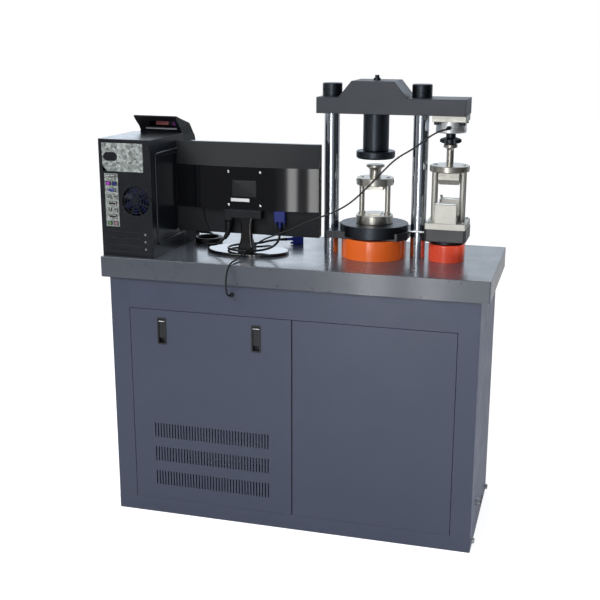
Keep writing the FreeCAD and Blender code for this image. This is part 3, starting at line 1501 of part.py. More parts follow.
def route_tube(points, diameter, radii):
    """Tube along straight runs joined by tangent arcs."""
    edges = []
    start = points[0]
    for i, radius in enumerate(radii):
        before, here, after = points[i], points[i + 1], points[i + 2]
        a = (here - before).normalize()
        b = (after - here).normalize()
        turn = a.getAngle(b)
        cut = radius * math.tan(turn / 2)
        enter = here - a * cut
        leave = here + b * cut
        inward = (b - a).normalize()
        middle = here + inward * (radius / math.cos(turn / 2) - radius)
        edges.append(Part.LineSegment(start, enter).toShape())
        edges.append(Part.Arc(enter, middle, leave).toShape())
        start = leave
    edges.append(Part.LineSegment(start, points[-1]).toShape())
    path = Part.Wire(edges)
    first = (points[1] - points[0]).normalize()
    ring = Part.Wire([Part.Circle(points[0], first, diameter / 2).toShape()])
    tube = path.makePipeShell([ring], True, False)
    length = sum(edge.Length for edge in edges)
    section = math.pi * diameter ** 2 / 4
    if abs(tube.Volume / (section * length) - 1) > 0.01:
        print("volume differs", tube.Volume, section * length)
    return tube


def lead(name, routes, diameter):
    """Write one lead and print its length and its bend radii."""
    tubes = []
    for points in routes:
        radii = route_radii(points)
        tube = route_tube(points, diameter, radii)
        runs = [round((b - a).Length) for a, b in zip(points, points[1:])]
        length = round(tube.Volume * 4 / math.pi / diameter ** 2)
        print(name, "tightest bend", round(min(radii), 1), "runs", runs, "length", length)
        tubes.append(tube)
    save(name, *tubes)


def load_cell_route():
    """From the gland, before the columns and the jig, over the worktop's edge and into the rail's gland."""
    return [
        V(flexure_x, gland_tip_y() + 5, gland_z()),
        V(flexure_x, gland_tip_y() - 24, gland_z()),
        V(407, -93, 1209),
        V(378, -95, 1193),
        V(337, -93, 1159),
        V(284, -90, 1128),
        V(240, -90, 1082),
        V(196, -90, 1034),
        V(146, -90, 987),
        V(92, -92, 959),
        V(34, -95, 937),
        V(-20, -98, 909),
        V(-70, -100, 890),
        V(-112, -101, 872),
        V(-140, -104, 851),
        V(-157, -119, 838),
        V(-163, -146, 833),
        V(-166, -186, 826),
        V(cable_entry_x, -243, 827.5),
        V(cable_entry_x, -276, 794.5),
        V(cable_entry_x, -276, cable_entry_z + 22),
        V(cable_entry_x, -254, cable_entry_z),
        V(cable_entry_x, -213, cable_entry_z),
    ]


def signal_route():
    """From the monitor's plug down to the foot, round the neck and out to the loose plug."""
    end = loose_plug_tail()
    return [
        V(signal_plug_x, port_y, band_bottom_z - plug_height - plug_tail_length - lead_gap),
        V(signal_plug_x, port_y, 872),
        V(-84, -71, 848),
        V(-110, -81, 838),
        V(-138, -98, 836),
        V(-170, -109, 836),
        V(-206, -103, 836),
        V(-231, -78, 836),
        V(-233, -43, 836),
        V(-212, -15, 836),
        V(-180, 0, 836),
        V(-153, 17, 837),
        V(-138, 42, 839),
        V(end.x - 26, end.y - 15, end.z),
        end,
    ]


def loose_plug_tail():
    """Where the loose plug's tail meets its cable."""
    return V(-89, 81, worktop_height + plug_width / 2)


def loose_plug():
    """Second plug of the signal cable, lying on its edge on the worktop."""
    plug = plug_body()
    plug.rotate(V(0, 0, 0), V(0, 1, 0), 90)
    plug.rotate(V(0, 0, 0), V(0, 0, 1), 30)
    plug.translate(loose_plug_tail())
    return plug


def coil_z():
    """Height of the lowest turn of the coil."""
    return worktop_height + power_lead_diameter / 2 + body_gap


def power_routes():
    """From the monitor's inlet to the coil, and from the coil to the mains plug."""
    inward = [
        V(power_inlet_x, port_y, band_bottom_z - power_plug_length - lead_gap),
        V(power_inlet_x, port_y, 886),
        V(-244, -73, 860),
        V(-270, -73, 842),
        V(-306, -58, 838),
        V(-309, -18, coil_z()),
        V(coil_x + coil_radius, coil_y, coil_z()),
    ]
    side = coil_radius * math.cos(math.radians(45))
    end = mains_plug_tail()
    outward = [
        V(coil_x + side, coil_y + side, coil_z()),
        V(-334, 95, coil_z()),
        V(-347, 124, coil_z() + 2),
        V(-373, 146, end.z),
        end + V(body_gap, 0, 0),
    ]
    return inward, outward


def power_lead_coil():
    """Turns of the power lead, resting on and beside each other."""
    turns = []
    for i in range(coil_layers):
        for radius in (coil_radius, coil_radius - power_lead_diameter * 0.9):
            turns.append(Part.makeTorus(radius, power_lead_diameter / 2,
                                        V(coil_x, coil_y, coil_z() + i * power_lead_diameter * 0.86), V(0, 0, 1)))
    return joined(turns)


def mains_plug_tail():
    """Where the power lead meets the mains plug."""
    return V(-406, 154, worktop_height + 12)


def mains_plug():
    """Moulded mains plug lying on the worktop behind the computer."""
    body = box(16, 54, -19, 19, -12, 12)
    body = body.makeFillet(6.0, edges_along(body, V(0, 0, 1)))
    tail = Part.makeCone(power_lead_diameter / 2 + 1, 8, 16, V(0, 0, 0), V(1, 0, 0))
    pins = [bar_x(4.8, 54, 73, y, 0) for y in (-9.5, 9.5)]
    plug = joined([body, tail] + pins)
    plug.rotate(V(0, 0, 0), V(0, 0, 1), 166.4)
    plug.translate(mains_plug_tail())
    return plug


os.makedirs("parts", exist_ok=True)

save("plinth", plinth())
save("side_panels", *side_panels())
save("cabinet_rails", *cabinet_rails())
save("vented_panel", vented_panel())
save("latch_housings", *[latch_housing(x) for x in latch_centres_x])
save("left_latch_paddle", latch_paddle(latch_centres_x[0]))
save("right_latch_paddle", latch_paddle(latch_centres_x[1]))
save("fixed_panels", *fixed_panels())
save("worktop", worktop())
save("side_fittings", drain_valve(), *foot_bolts())
save("drain_lever", drain_lever())
save("bolster", *bolster())
save("columns", *columns())
save("column_nuts", *column_nuts())
save("crosshead", crosshead())
save("spindle", *spindle())
save("upper_platen", upper_platen())
save("main_cylinder", main_cylinder())
save("main_ram", main_ram())
save("guide_plate", guide_plate())
save("lower_platen", lower_platen())
save("compression_jig_base", *compression_jig_base())
save("compression_jig_guide", compression_jig_guide())
save("compression_plunger", *compression_plunger())
save("load_cell_plate", load_cell_plate())
save("load_cell_screws", *load_cell_screws())
save("load_cell", load_cell())
save("cable_glands", *cable_glands())
save("loading_button", loading_button())
save("flexure_cylinder", flexure_cylinder())
save("flexure_ram", flexure_ram())
save("ram_block", ram_block())
save("guide_bars", *guide_bars())
save("flexure_jig_base", flexure_jig_base(), *flexure_jig_pillars())
save("flexure_jig_block", *flexure_jig_block())
save("front_support_roller", roller(frame_y - support_span / 2, support_roller_z(), support_roller_length))
save("rear_support_roller", roller(frame_y + support_span / 2, support_roller_z(), support_roller_length))
save("flexure_jig_guide", flexure_jig_guide())
save("flexure_plunger", flexure_plunger())
save("flexure_upper_block", flexure_upper_block())
save("loading_roller", roller(frame_y, loading_roller_z(), loading_roller_length))
save("power_pack", oil_tank(), electrics_box(), *pump_motor(), *valve_block())
save("stop_button", push_button(stop_button_x, stop_button_diameter, stop_button_travel, 14.0))
save("pump_button", push_button(pump_button_x, pump_button_diameter, pump_button_travel, 4.0))
save("pc_case", *[pc_place(piece) for piece in (pc_case(), pc_fan_frame(), *pc_inserts())])
save("pc_rear_plates", *[pc_place(piece) for piece in pc_rear_plates()])
save("pc_fan", pc_place(pc_fan()))
save("pc_bezel", pc_place(pc_bezel()))
save("monitor_cover", *monitor_cover())
save("monitor_screen", monitor_screen())
save("monitor_neck", monitor_neck())
save("monitor_foot", monitor_foot())
save("monitor_plug", monitor_plug())
save("loose_plug", loose_plug())
save("power_lead_coil", power_lead_coil())
save("mains_plug", mains_plug())
lead("load_cell_cable", [load_cell_route()], cell_cable_diameter)
lead("signal_cable", [signal_route()], signal_cable_diameter)
lead("power_lead", power_routes(), power_lead_diameter)
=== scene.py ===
"""Finishes, small fittings, leads and stage of a flexural and compression testing machine."""
import math
import bmesh
import bpy
import numpy as np
from mathutils import Matrix, Vector


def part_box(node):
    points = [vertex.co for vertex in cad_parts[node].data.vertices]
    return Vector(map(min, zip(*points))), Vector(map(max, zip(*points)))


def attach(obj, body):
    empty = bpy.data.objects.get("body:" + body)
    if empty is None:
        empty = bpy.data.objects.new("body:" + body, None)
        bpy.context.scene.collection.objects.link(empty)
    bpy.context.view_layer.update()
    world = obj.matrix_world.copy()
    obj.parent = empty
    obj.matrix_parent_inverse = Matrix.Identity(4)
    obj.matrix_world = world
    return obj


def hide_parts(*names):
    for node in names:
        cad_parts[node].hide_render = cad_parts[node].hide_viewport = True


bl_info = {
    "name": "Flexural and compression tester looks",
    "version": (1, 0, 0),
    "blender": (4, 5, 0),
    "location": "3D View > Sidebar > Tester",
    "description": "Finishes, fittings, leads and stage of a flexural and compression testing machine",
    "category": "Object",
}

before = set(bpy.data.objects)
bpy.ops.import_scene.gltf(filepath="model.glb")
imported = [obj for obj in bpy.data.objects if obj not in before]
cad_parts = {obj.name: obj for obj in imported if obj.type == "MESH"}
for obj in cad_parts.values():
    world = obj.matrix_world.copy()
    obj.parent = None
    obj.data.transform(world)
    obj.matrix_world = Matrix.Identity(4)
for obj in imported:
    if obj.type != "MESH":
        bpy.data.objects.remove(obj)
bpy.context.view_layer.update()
MM = 0.001

# The lead's coil, and the display's bowed band with what is fixed on it, in metres

COIL_CENTRE = (-0.338, 0.045, 0.8258)
COIL_PITCH = 6.3 * MM
BAND_Z = (0.956, 1.085)
BAND_CENTRE = (-0.172, -0.081)
BAND_RADIUS = 1.4028
BRACKET_CENTRE = (-0.1737, 1.020)
BRACKET_HALF = 0.050
LABEL_CENTRE = (-0.174, 1.0203)
STRIP_CENTRE = (-0.187, 0.9856)

# The computer's case in metres, and the places on its rear face in its own millimetres

CASE_CORNER = (-0.579, -0.214, 0.822)
CASE_TURN = math.radians(-3)
CASE_WIDTH = 0.168
CASE_HEIGHT = 0.349
PSU_FACE = (11.0, 144.0, 255.0, 338.0)
SHIELD = (16.0, 60.0, 90.0, 248.0)
FAN_CENTRE = (115.0, 169.0)
FAN_SCREW_REACH = 36.0

# The frame's axes and the reach of its jigs' screws from them, in metres

MAIN_X = 0.205
FLEXURE_X = 0.424
FRAME_Y = 0.010
COLUMNS_X = (0.0725, 0.3375)
PRISM_JIG_SCREW = 0.039
PRISM_JIG_RADIUS = 0.0548
FLEXURE_JIG_SCREW = 0.041
FLEXURE_BASE_SCREW = 0.050
FLEXURE_BASE_HEIGHT = 0.018
GUIDE_BAR_REACH = 0.0258
GUIDE_BAR_Z = 0.905
CROSSHEAD_Z = 1.269

# The cabinet's small fittings, in metres

RAIL_SCREWS_X = (-0.485, -0.245, 0.245, 0.485)
RAIL_SCREWS_Z = (0.690, 0.742)
LATCH_PIN = (-0.2243, 0.6305)

# The stage's cards: their places before and behind the machine, in metres

STRIP_Y = -2.4
FLAG_Y = -2.5
BACK_Y = 4.5
FAR_FLAG_Y = 4.4
RIGHT_X = 3.2
SKY_BLUE = (0.80, 0.89, 1.0)

# Colours and nodes


def linear(code):
    """Turn an sRGB hex colour into linear red, green and blue."""
    values = np.array([int(code[i:i + 2], 16) for i in (1, 3, 5)]) / 255
    low = values / 12.92
    high = ((values + 0.055) / 1.055) ** 2.4
    return tuple(float(v) for v in np.where(values <= 0.04045, low, high))


def node(tree, kind, inputs=None, **settings):
    """Add one node, with its settings and with values or links for its inputs."""
    made = tree.nodes.new(kind)
    for key, value in settings.items():
        setattr(made, key, value)
    for socket, value in (inputs or {}).items():
        if isinstance(value, bpy.types.NodeSocket):
            tree.links.new(value, made.inputs[socket])
        else:
            made.inputs[socket].default_value = value
    return made


# Settings


class TesterSizes(bpy.types.PropertyGroup):
    """Sizes that a user may change."""

    cell_cable: bpy.props.FloatProperty(
        name="Load cell cable", description="Diameter of the load cell's cable", default=5 * MM,
        unit="LENGTH")
    signal_cable: bpy.props.FloatProperty(
        name="Signal cable", description="Diameter of the display's signal cable", default=7 * MM,
        unit="LENGTH")
    power_lead: bpy.props.FloatProperty(
        name="Power lead", description="Diameter of the display's mains lead", default=7 * MM, unit="LENGTH")
    coil_radius: bpy.props.FloatProperty(
        name="Coil radius", description="Radius of the spare lead's coil, to the lead's middle",
        default=42 * MM, unit="LENGTH")
    coil_turns: bpy.props.IntProperty(
        name="Coil turns", description="Turns of spare lead behind the display", default=6)
    pan_head: bpy.props.FloatProperty(
        name="Pan head", description="Diameter of the display's and computer's screw heads", default=8 * MM,
        unit="LENGTH")
    key_light: bpy.props.FloatProperty(
        name="Key light", description="Power of the large soft lamp before the machine", default=112.0,
        unit="POWER")
    side_light: bpy.props.FloatProperty(
        name="Side light", description="Power of the soft lamp on the machine's right", default=20.0,
        unit="POWER")


class TesterColours(bpy.types.PropertyGroup):
    """Colours that a user may change."""

    cabinet: bpy.props.FloatVectorProperty(
        name="Cabinet", description="Powder coat of the cabinet", subtype="COLOR", default=linear("#3d4458"))
    worktop: bpy.props.FloatVectorProperty(
        name="Worktop", description="Powder coat of the worktop", subtype="COLOR", default=linear("#4a4f59"))
    crosshead: bpy.props.FloatVectorProperty(
        name="Crosshead", description="Enamel of the crosshead", subtype="COLOR", default=linear("#2b2f36"))
    main_cylinder: bpy.props.FloatVectorProperty(
        name="Main cylinder", description="Enamel of the main cylinder", subtype="COLOR",
        default=linear("#ff7024"))
    flexure_cylinder: bpy.props.FloatVectorProperty(
        name="Flexure cylinder", description="Enamel of the flexure cylinder", subtype="COLOR",
        default=linear("#ee5236"))
    case: bpy.props.FloatVectorProperty(
        name="Computer case", description="Powder coat of the computer's case", subtype="COLOR",
        default=linear("#090d15"))
    floor: bpy.props.FloatVectorProperty(
        name="Floor", description="Colour of the floor", subtype="COLOR", default=linear("#f4f4f4"))


def sizes():
    """The sizes that are set on the scene."""
    return bpy.context.scene.tester_sizes


def colours():
    """The colours that are set on the scene."""
    return bpy.context.scene.tester_colours


# Finishes


def blank(name, colour, metallic, roughness, **sockets):
    """Start a material: a shader with plain values, and its tree."""
    made = bpy.data.materials.new(name)
    made.use_nodes = True
    tree = made.node_tree
    shader = tree.nodes["Principled BSDF"]
    shader.inputs["Base Color"].default_value = (*colour, 1)
    shader.inputs["Metallic"].default_value = metallic
    shader.inputs["Roughness"].default_value = roughness
    for socket, value in sockets.items():
        shader.inputs[socket.replace("_", " ")].default_value = value
    return made, tree, shader


def mottle(tree, colour, amount, size):
    """Colour that drifts lighter and darker by amount over patches of the given size."""
    place = node(tree, "ShaderNodeTexCoord")
    noise = node(tree, "ShaderNodeTexNoise",
                 {"Vector": place.outputs["Object"], "Scale": 1 / size, "Detail": 3.0})
    dark = tuple(c * (1 - amount) for c in colour)
    light = tuple(min(1.0, c * (1 + amount)) for c in colour)
    return node(tree, "ShaderNodeMix", {0: noise.outputs["Fac"], 6: (*dark, 1), 7: (*light, 1)},
                data_type="RGBA").outputs[2]


def smudge(tree, low, high, size):
    """Roughness that wanders between two values, as handling and dust leave it."""
    place = node(tree, "ShaderNodeTexCoord")
    noise = node(tree, "ShaderNodeTexNoise",
                 {"Vector": place.outputs["Object"], "Scale": 1 / size, "Detail": 4.0})
    spread = node(tree, "ShaderNodeMapRange", {0: noise.outputs["Fac"], 1: 0.3, 2: 0.7, 3: low, 4: high})
    return spread.outputs[0]


def grain(tree, size, height, stretch=(1.0, 1.0, 1.0), edge=0.0):
    """Bump of a noise with the given grain size and height, with edges softened over a radius."""
    place = node(tree, "ShaderNodeTexCoord")
    scaled = node(tree, "ShaderNodeMapping", {"Vector": place.outputs["Object"], "Scale": stretch})
    noise = node(tree, "ShaderNodeTexNoise", {"Vector": scaled.outputs[0], "Scale": 1 / size, "Detail": 2.0})
    bump = node(tree, "ShaderNodeBump", {"Height": noise.outputs["Fac"], "Distance": height, "Strength": 0.6})
    if edge:
        soft = node(tree, "ShaderNodeBevel", {"Radius": edge}, samples=4)
        tree.links.new(soft.outputs[0], bump.inputs["Normal"])
    return bump.outputs[0]


def coated(name, colour, roughness=0.4, grit=1.6 * MM, edge=1.0 * MM, **sockets):
    """Powder-coated or sprayed sheet steel: an even colour with a fine orange-peel skin, wiped and dusty."""
    made, tree, shader = blank(name, colour, 0.0, roughness, **sockets)
    tree.links.new(mottle(tree, colour, 0.07, 90 * MM), shader.inputs["Base Color"])
    tree.links.new(smudge(tree, roughness - 0.05, roughness + 0.05, 60 * MM), shader.inputs["Roughness"])
    tree.links.new(grain(tree, grit, 0.010 * MM, edge=edge), shader.inputs["Normal"])
    return made


def machined(name, colour, roughness, stretch=(1.0, 1.0, 12.0), edge=0.5 * MM):
    """Machined bare steel: cutter marks as a fine streaked grain, which spreads highlights across them."""
    made, tree, shader = blank(name, colour, 1.0, roughness)
    tree.links.new(mottle(tree, colour, 0.08, 25 * MM), shader.inputs["Base Color"])
    tree.links.new(smudge(tree, roughness - 0.03, roughness + 0.03, 18 * MM), shader.inputs["Roughness"])
    tree.links.new(grain(tree, 4.0 * MM, 0.0015 * MM, stretch, edge), shader.inputs["Normal"])
    return made


def moulded(name, colour, roughness, grit=0.8 * MM, edge=0.6 * MM, **sockets):
    """Injection-moulded plastic: one colour through, with the mould's spark-eroded or polished skin."""
    made, tree, shader = blank(name, colour, 0.0, roughness, **sockets)
    tree.links.new(mottle(tree, colour, 0.05, 40 * MM), shader.inputs["Base Color"])
    tree.links.new(grain(tree, grit, 0.02 * MM, edge=edge), shader.inputs["Normal"])
    return made


def spangled(name, colour, roughness, spangle):
    """Hot-dip galvanised sheet: zinc crystals of the given size, each a little lighter, darker or duller."""
    made, tree, shader = blank(name, colour, 1.0, roughness)
    place = node(tree, "ShaderNodeTexCoord")
    cells = node(tree, "ShaderNodeTexVoronoi", {"Vector": place.outputs["Object"], "Scale": 1 / spangle,
                                                "Randomness": 1.0})
    split = node(tree, "ShaderNodeSeparateColor", {0: cells.outputs["Color"]})
    dark = tuple(c * 0.7 for c in colour)
    light = tuple(min(1.0, c * 1.3) for c in colour)
    tint = node(tree, "ShaderNodeMix", {0: split.outputs[0], 6: (*dark, 1), 7: (*light, 1)}, data_type="RGBA")
    rough = node(tree, "ShaderNodeMapRange", {0: split.outputs[1], 3: roughness - 0.12, 4: roughness + 0.15})
    tree.links.new(tint.outputs[2], shader.inputs["Base Color"])
    tree.links.new(rough.outputs[0], shader.inputs["Roughness"])
    tree.links.new(grain(tree, spangle / 2, 0.05 * MM, edge=0.4 * MM), shader.inputs["Normal"])
    return made


def between(tree, axis, low, high, width):
    """Mask that is one where the place along an axis lies between two heights, with soft ends."""
    place = node(tree, "ShaderNodeTexCoord")
    split = node(tree, "ShaderNodeSeparateXYZ", {0: place.outputs["Object"]})
    rise = node(tree, "ShaderNodeMapRange", {0: split.outputs[axis], 1: low - width, 2: low + width})
    fall = node(tree, "ShaderNodeMapRange", {0: split.outputs[axis], 1: high + width, 2: high - width})
    both = node(tree, "ShaderNodeMath", {0: rise.outputs[0], 1: fall.outputs[0]}, operation="MULTIPLY")
    return both.outputs[0]


def display_back_finish():
    """ABS moulding with a spark-eroded matte skin, and a polished band across its middle."""
    made, tree, shader = blank("abs_two_finish", linear("#2c2e31"), 0.0, 0.5)
    band = between(tree, "Z", BAND_Z[0], BAND_Z[1], 0.4 * MM)
    colour = node(tree, "ShaderNodeMix", {0: band, 6: (*linear("#191c20"), 1), 7: (*linear("#0b0c10"), 1)},
                  data_type="RGBA")
    rough = node(tree, "ShaderNodeMapRange", {0: band, 3: 0.50, 4: 0.075})
    grit = node(tree, "ShaderNodeMapRange", {0: band, 3: 0.5, 4: 0.02})
    place = node(tree, "ShaderNodeTexCoord")
    noise = node(tree, "ShaderNodeTexNoise", {"Vector": place.outputs["Object"], "Scale": 1 / (1.0 * MM)})
    soft = node(tree, "ShaderNodeBevel", {"Radius": 0.6 * MM}, samples=4)
    bump = node(tree, "ShaderNodeBump", {"Height": noise.outputs["Fac"], "Distance": 0.015 * MM,
                                         "Strength": grit.outputs[0], "Normal": soft.outputs[0]})
    sheen = node(tree, "ShaderNodeMapRange", {0: band, 3: 0.19, 4: 0.40})
    tree.links.new(colour.outputs[2], shader.inputs["Base Color"])
    tree.links.new(rough.outputs[0], shader.inputs["Roughness"])
    tree.links.new(sheen.outputs[0], shader.inputs["Specular IOR Level"])
    tree.links.new(bump.outputs[0], shader.inputs["Normal"])
    return made


def chrome_finish():
    """Hard chromium plate on a ground bar: a near mirror with fine rings from the grinding."""
    made, tree, shader = blank("hard_chrome_plate", linear("#cdd3dc"), 1.0, 0.13)
    tree.links.new(grain(tree, 3.0 * MM, 0.001 * MM, (0.2, 0.2, 6.0)), shader.inputs["Normal"])
    return made


def finishes():
    """Every finish by a plain name."""
    c = colours()
    return {
        # Powder coat gives wide soft sheens; clear coat makes the worktop and the case mirror at a low angle
        "cabinet": coated("powder_coat_slate", c.cabinet[:], 0.38),
        "worktop": coated("powder_coat_pale_slate", c.worktop[:], 0.3, 5 * MM, Coat_Weight=0.5,
                          Coat_Roughness=0.13),
        "crosshead": coated("sprayed_enamel_grey", c.crosshead[:], 0.42, Specular_IOR_Level=0.4),
        "bolster": coated("sprayed_enamel_dark", linear("#464a50"), 0.40),
        "dark": coated("sprayed_enamel_charcoal", linear("#181b21"), 0.30),
        "block": coated("sprayed_enamel_iron_grey", linear("#313236"), 0.36),
        "tank": coated("sprayed_enamel_pale_grey", linear("#80858c"), 0.38),
        "orange": coated("gloss_enamel_orange", c.main_cylinder[:], 0.24, Coat_Weight=0.5,
                         Coat_Roughness=0.1),
        "red_orange": coated("gloss_enamel_red_orange", c.flexure_cylinder[:], 0.26, Coat_Weight=0.4,
                             Coat_Roughness=0.12),
        # Bare, plated and blackened steel mirror their surroundings: sharp on chrome, spread on ground faces
        "black_oxide": machined("black_oxide_steel", linear("#3c4046"), 0.36),
        "chrome": chrome_finish(),
        "ground": machined("ground_steel", linear("#dcdedf"), 0.36),
        "nickel": machined("nickel_plated_steel", linear("#bdbab2"), 0.30),
        "ground_nickel": machined("surface_ground_nickel_plate", linear("#b9b8b1"), 0.46, (12.0, 1.0, 1.0)),
        "zinc": machined("zinc_plated_steel", linear("#b9bdbd"), 0.34),
        "tin": spangled("galvanised_sheet", linear("#b4bcba"), 0.40, 7 * MM),
        # Plastics keep one colour through; polished ones mirror, etched ones only glow along their edges
        "latch": moulded("nylon_latch", linear("#15171b"), 0.45),
        "display_back": display_back_finish(),
        "gloss_black": moulded("polished_abs_black", linear("#0d0e11"), 0.12, Coat_Weight=0.6,
                               Coat_Roughness=0.04),
        "screen": moulded("antiglare_glass", linear("#0c0d10"), 0.25),
        "case": coated("powder_coat_black", c.case[:], 0.36, edge=3 * MM, Coat_Weight=0.5, Coat_Roughness=0.2,
                       Specular_IOR_Level=0.3),
        "bezel": moulded("abs_black_bezel", linear("#0b0c10"), 0.5, Specular_IOR_Level=0.2),
        # Painted light: the loose plug is the same blue PVC as the display's plug, lightened to stand in for
        # light where the display shades it
        "loose_plug": moulded("blue_pvc_painted_light", linear("#2a3fb4"), 0.38, Specular_IOR_Level=0.4),
        "blue_plug": moulded("blue_pvc", linear("#12236c"), 0.38, Specular_IOR_Level=0.4),
        "fan": moulded("blue_polycarbonate", linear("#0d174a"), 0.35),
        "black": moulded("black_pvc", linear("#121316"), 0.45),
        "red": moulded("red_abs", linear("#b51f1b"), 0.2, Coat_Weight=0.4),
        "green": moulded("green_abs", linear("#1f8040"), 0.2, Coat_Weight=0.4),
    }


NODE_FINISH = {
    "plinth": "cabinet", "side_panels": "cabinet", "cabinet_rails": "cabinet", "vented_panel": "cabinet",
    "fixed_panels": "cabinet", "latch_housings": "latch", "left_latch_paddle": "latch",
    "right_latch_paddle": "latch", "worktop": "worktop", "side_fittings": "zinc", "drain_lever": "dark",
    "bolster": "bolster", "columns": "chrome", "column_nuts": "black_oxide", "crosshead": "crosshead",
    "spindle": "black_oxide", "upper_platen": "black_oxide", "main_cylinder": "orange", "main_ram": "ground",
    "guide_plate": "dark", "lower_platen": "black_oxide", "compression_jig_base": "nickel",
    "compression_jig_guide": "nickel", "compression_plunger": "nickel", "load_cell_plate": "ground_nickel",
    "load_cell_screws": "black_oxide", "load_cell": "ground", "cable_glands": "black",
    "loading_button": "black_oxide", "flexure_cylinder": "red_orange", "flexure_ram": "black_oxide",
    "ram_block": "block", "guide_bars": "ground", "flexure_jig_base": "ground_nickel",
    "flexure_jig_block": "ground_nickel",
    "front_support_roller": "ground", "rear_support_roller": "ground", "flexure_jig_guide": "nickel",
    "flexure_plunger": "nickel", "flexure_upper_block": "ground_nickel", "loading_roller": "ground",
    "power_pack": "tank", "stop_button": "red", "pump_button": "green", "pc_case": "case",
    "pc_rear_plates": "tin", "pc_fan": "fan", "pc_bezel": "bezel", "monitor_cover": "display_back",
    "monitor_screen": "screen", "monitor_neck": "gloss_black", "monitor_foot": "gloss_black",
    "monitor_plug": "blue_plug", "loose_plug": "loose_plug", "power_lead_coil": "black",
    "mains_plug": "black", "load_cell_cable": "black", "signal_cable": "black", "power_lead": "black",
}


# Surfaces


def surface(name, patches, material, body):
    """One object of several grids of points; each patch is (points, closed rows, closed columns)."""
    verts = []
    faces = []
    start = 0
    for points, closed_rows, closed_columns in patches:
        rows, columns = points.shape[:2]
        index = np.arange(rows * columns).reshape(rows, columns) + start
        if closed_rows:
            index = np.vstack([index, index[:1]])
        if closed_columns:
            index = np.hstack([index, index[:, :1]])
        quads = np.stack([index[:-1, :-1], index[:-1, 1:], index[1:, 1:], index[1:, :-1]], axis=-1)
        verts.append(points.reshape(-1, 3))
        faces.append(quads.reshape(-1, 4))
        start += rows * columns
    mesh = bpy.data.meshes.new(name)
    mesh.from_pydata(np.concatenate(verts).tolist(), [], np.concatenate(faces).tolist())
    work = bmesh.new()
    work.from_mesh(mesh)
    bmesh.ops.remove_doubles(work, verts=work.verts, dist=1e-6)
    bmesh.ops.dissolve_degenerate(work, edges=work.edges, dist=1e-7)
    bmesh.ops.recalc_face_normals(work, faces=work.faces)
    work.to_mesh(mesh)
    work.free()
    mesh.shade_smooth()
    mesh.set_sharp_from_angle(angle=math.radians(35))
    made = bpy.data.objects.new(name, mesh)
    bpy.context.scene.collection.objects.link(made)
    made.data.materials.append(material)
    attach(made, body)
    return made


def facing(origin, direction, up=(0, 0, 1)):
    """Frame at a place in metres whose third axis points along direction and whose second leans to up."""
    z = np.array(direction, float)
    z = z / np.linalg.norm(z)
    x = np.cross(np.array(up, float), z)
    x = x / np.linalg.norm(x)
    return np.array([x, np.cross(z, x), z]), np.array(origin, float)


def case_place(x, y, z, direction=(0, -1, 0), up=(0, 0, 1)):
    """Frame at a place in the computer case's own millimetres, facing along one of its own directions."""
    c = math.cos(CASE_TURN)
    s = math.sin(CASE_TURN)
    turn = np.array([[c, s, 0], [-s, c, 0], [0, 0, 1]])
    origin = np.array([x, y, z]) * MM @ turn + np.array(CASE_CORNER)
    return facing(origin, np.array(direction, float) @ turn, np.array(up, float) @ turn)


def polygon(t, sides):
    """Radius factor of a regular polygon of the given sides at angle t, or one all round."""
    step = 2 * math.pi / sides if sides else 1.0
    return math.cos(step / 2) / np.cos(np.mod(t, step) - step / 2) if sides else np.ones_like(t)


def turned(profile, place, steps=32):
    """Profile swept round the third axis: x = r f(t) cos t, y = r f(t) sin t, z = h; f is one or a polygon."""
    axes, origin = place
    t = np.linspace(0, 2 * math.pi, steps, endpoint=False)
    r = np.stack([p[0] * MM * polygon(t, p[2] if len(p) > 2 else 0) for p in profile])
    h = np.array([p[1] for p in profile])[:, None] * MM
    local = np.stack([r * np.cos(t), r * np.sin(t), h + 0 * t], axis=-1)
    return local @ axes + origin, False, True


def raised(width, height, corner, profile, place, count=10):
    """Rounded rectangle lifted along its normal: each row is its outline less an inset, at height h, in mm."""
    axes, origin = place
    quarter = np.linspace(0, math.pi / 2, count)
    t = np.concatenate([quarter + k * math.pi / 2 for k in range(4)])
    side_x = np.repeat([1, -1, -1, 1], count)
    side_y = np.repeat([1, 1, -1, -1], count)
    inset = np.array([p[0] for p in profile])[:, None]
    h = np.array([p[1] for p in profile])[:, None]
    r = np.clip(corner - inset, 0, None)
    half_x = np.clip(width / 2 - inset, 0, None)
    half_y = np.clip(height / 2 - inset, 0, None)
    x = side_x * np.clip(half_x - r, 0, None) + np.minimum(r, half_x) * np.cos(t)
    y = side_y * np.clip(half_y - r, 0, None) + np.minimum(r, half_y) * np.sin(t)
    local = np.stack([x, y, h + 0 * t], axis=-1) * MM
    return local @ axes + origin, False, True


def slab(width, height, corner, thickness, place, edge=0.4):
    """Plate with a softened front edge, closed behind."""
    middle = max(width, height) / 2
    profile = [(middle, 0), (0, 0), (0, thickness - edge), (edge * 0.3, thickness - edge * 0.3),
               (edge, thickness), (middle, thickness)]
    return raised(width, height, corner, profile, place)


def socket_of(width, height, corner, rim, depth, proud, place):
    """Connector shell: a rim round a recess, closed behind and at the recess's floor."""
    middle = max(width, height) / 2
    profile = [(middle, 0), (0, 0), (0, proud - 0.2), (0.2, proud), (rim - 0.2, proud), (rim, proud - 0.2),
               (rim, proud - depth), (middle, proud - depth)]
    return raised(width, height, corner, profile, place)


def pan_head(radius, place, steps=48):
    """Domed head: h = 0.55 R sqrt(1 - 0.8 (r/R)^2), less a cross-shaped recess where |x| or |y| is small."""
    axes, origin = place
    t = np.linspace(0, 2 * math.pi, steps, endpoint=False)
    share = np.array([0, 1, 1, 0.98, 0.9, 0.75, 0.62, 0.56, 0.4, 0.2, 0.0])[:, None]
    dome = 0.55 * np.sqrt(1 - 0.8 * share ** 2)
    dome[:2] = 0
    x = share * np.cos(t)
    y = share * np.sin(t)
    cross = (np.minimum(np.abs(x), np.abs(y)) < 0.13) & (share < 0.6)
    cross[:4] = False
    h = dome - 0.3 * cross
    local = np.stack([x, y, h], axis=-1) * radius * MM
    return local @ axes + origin, False, True


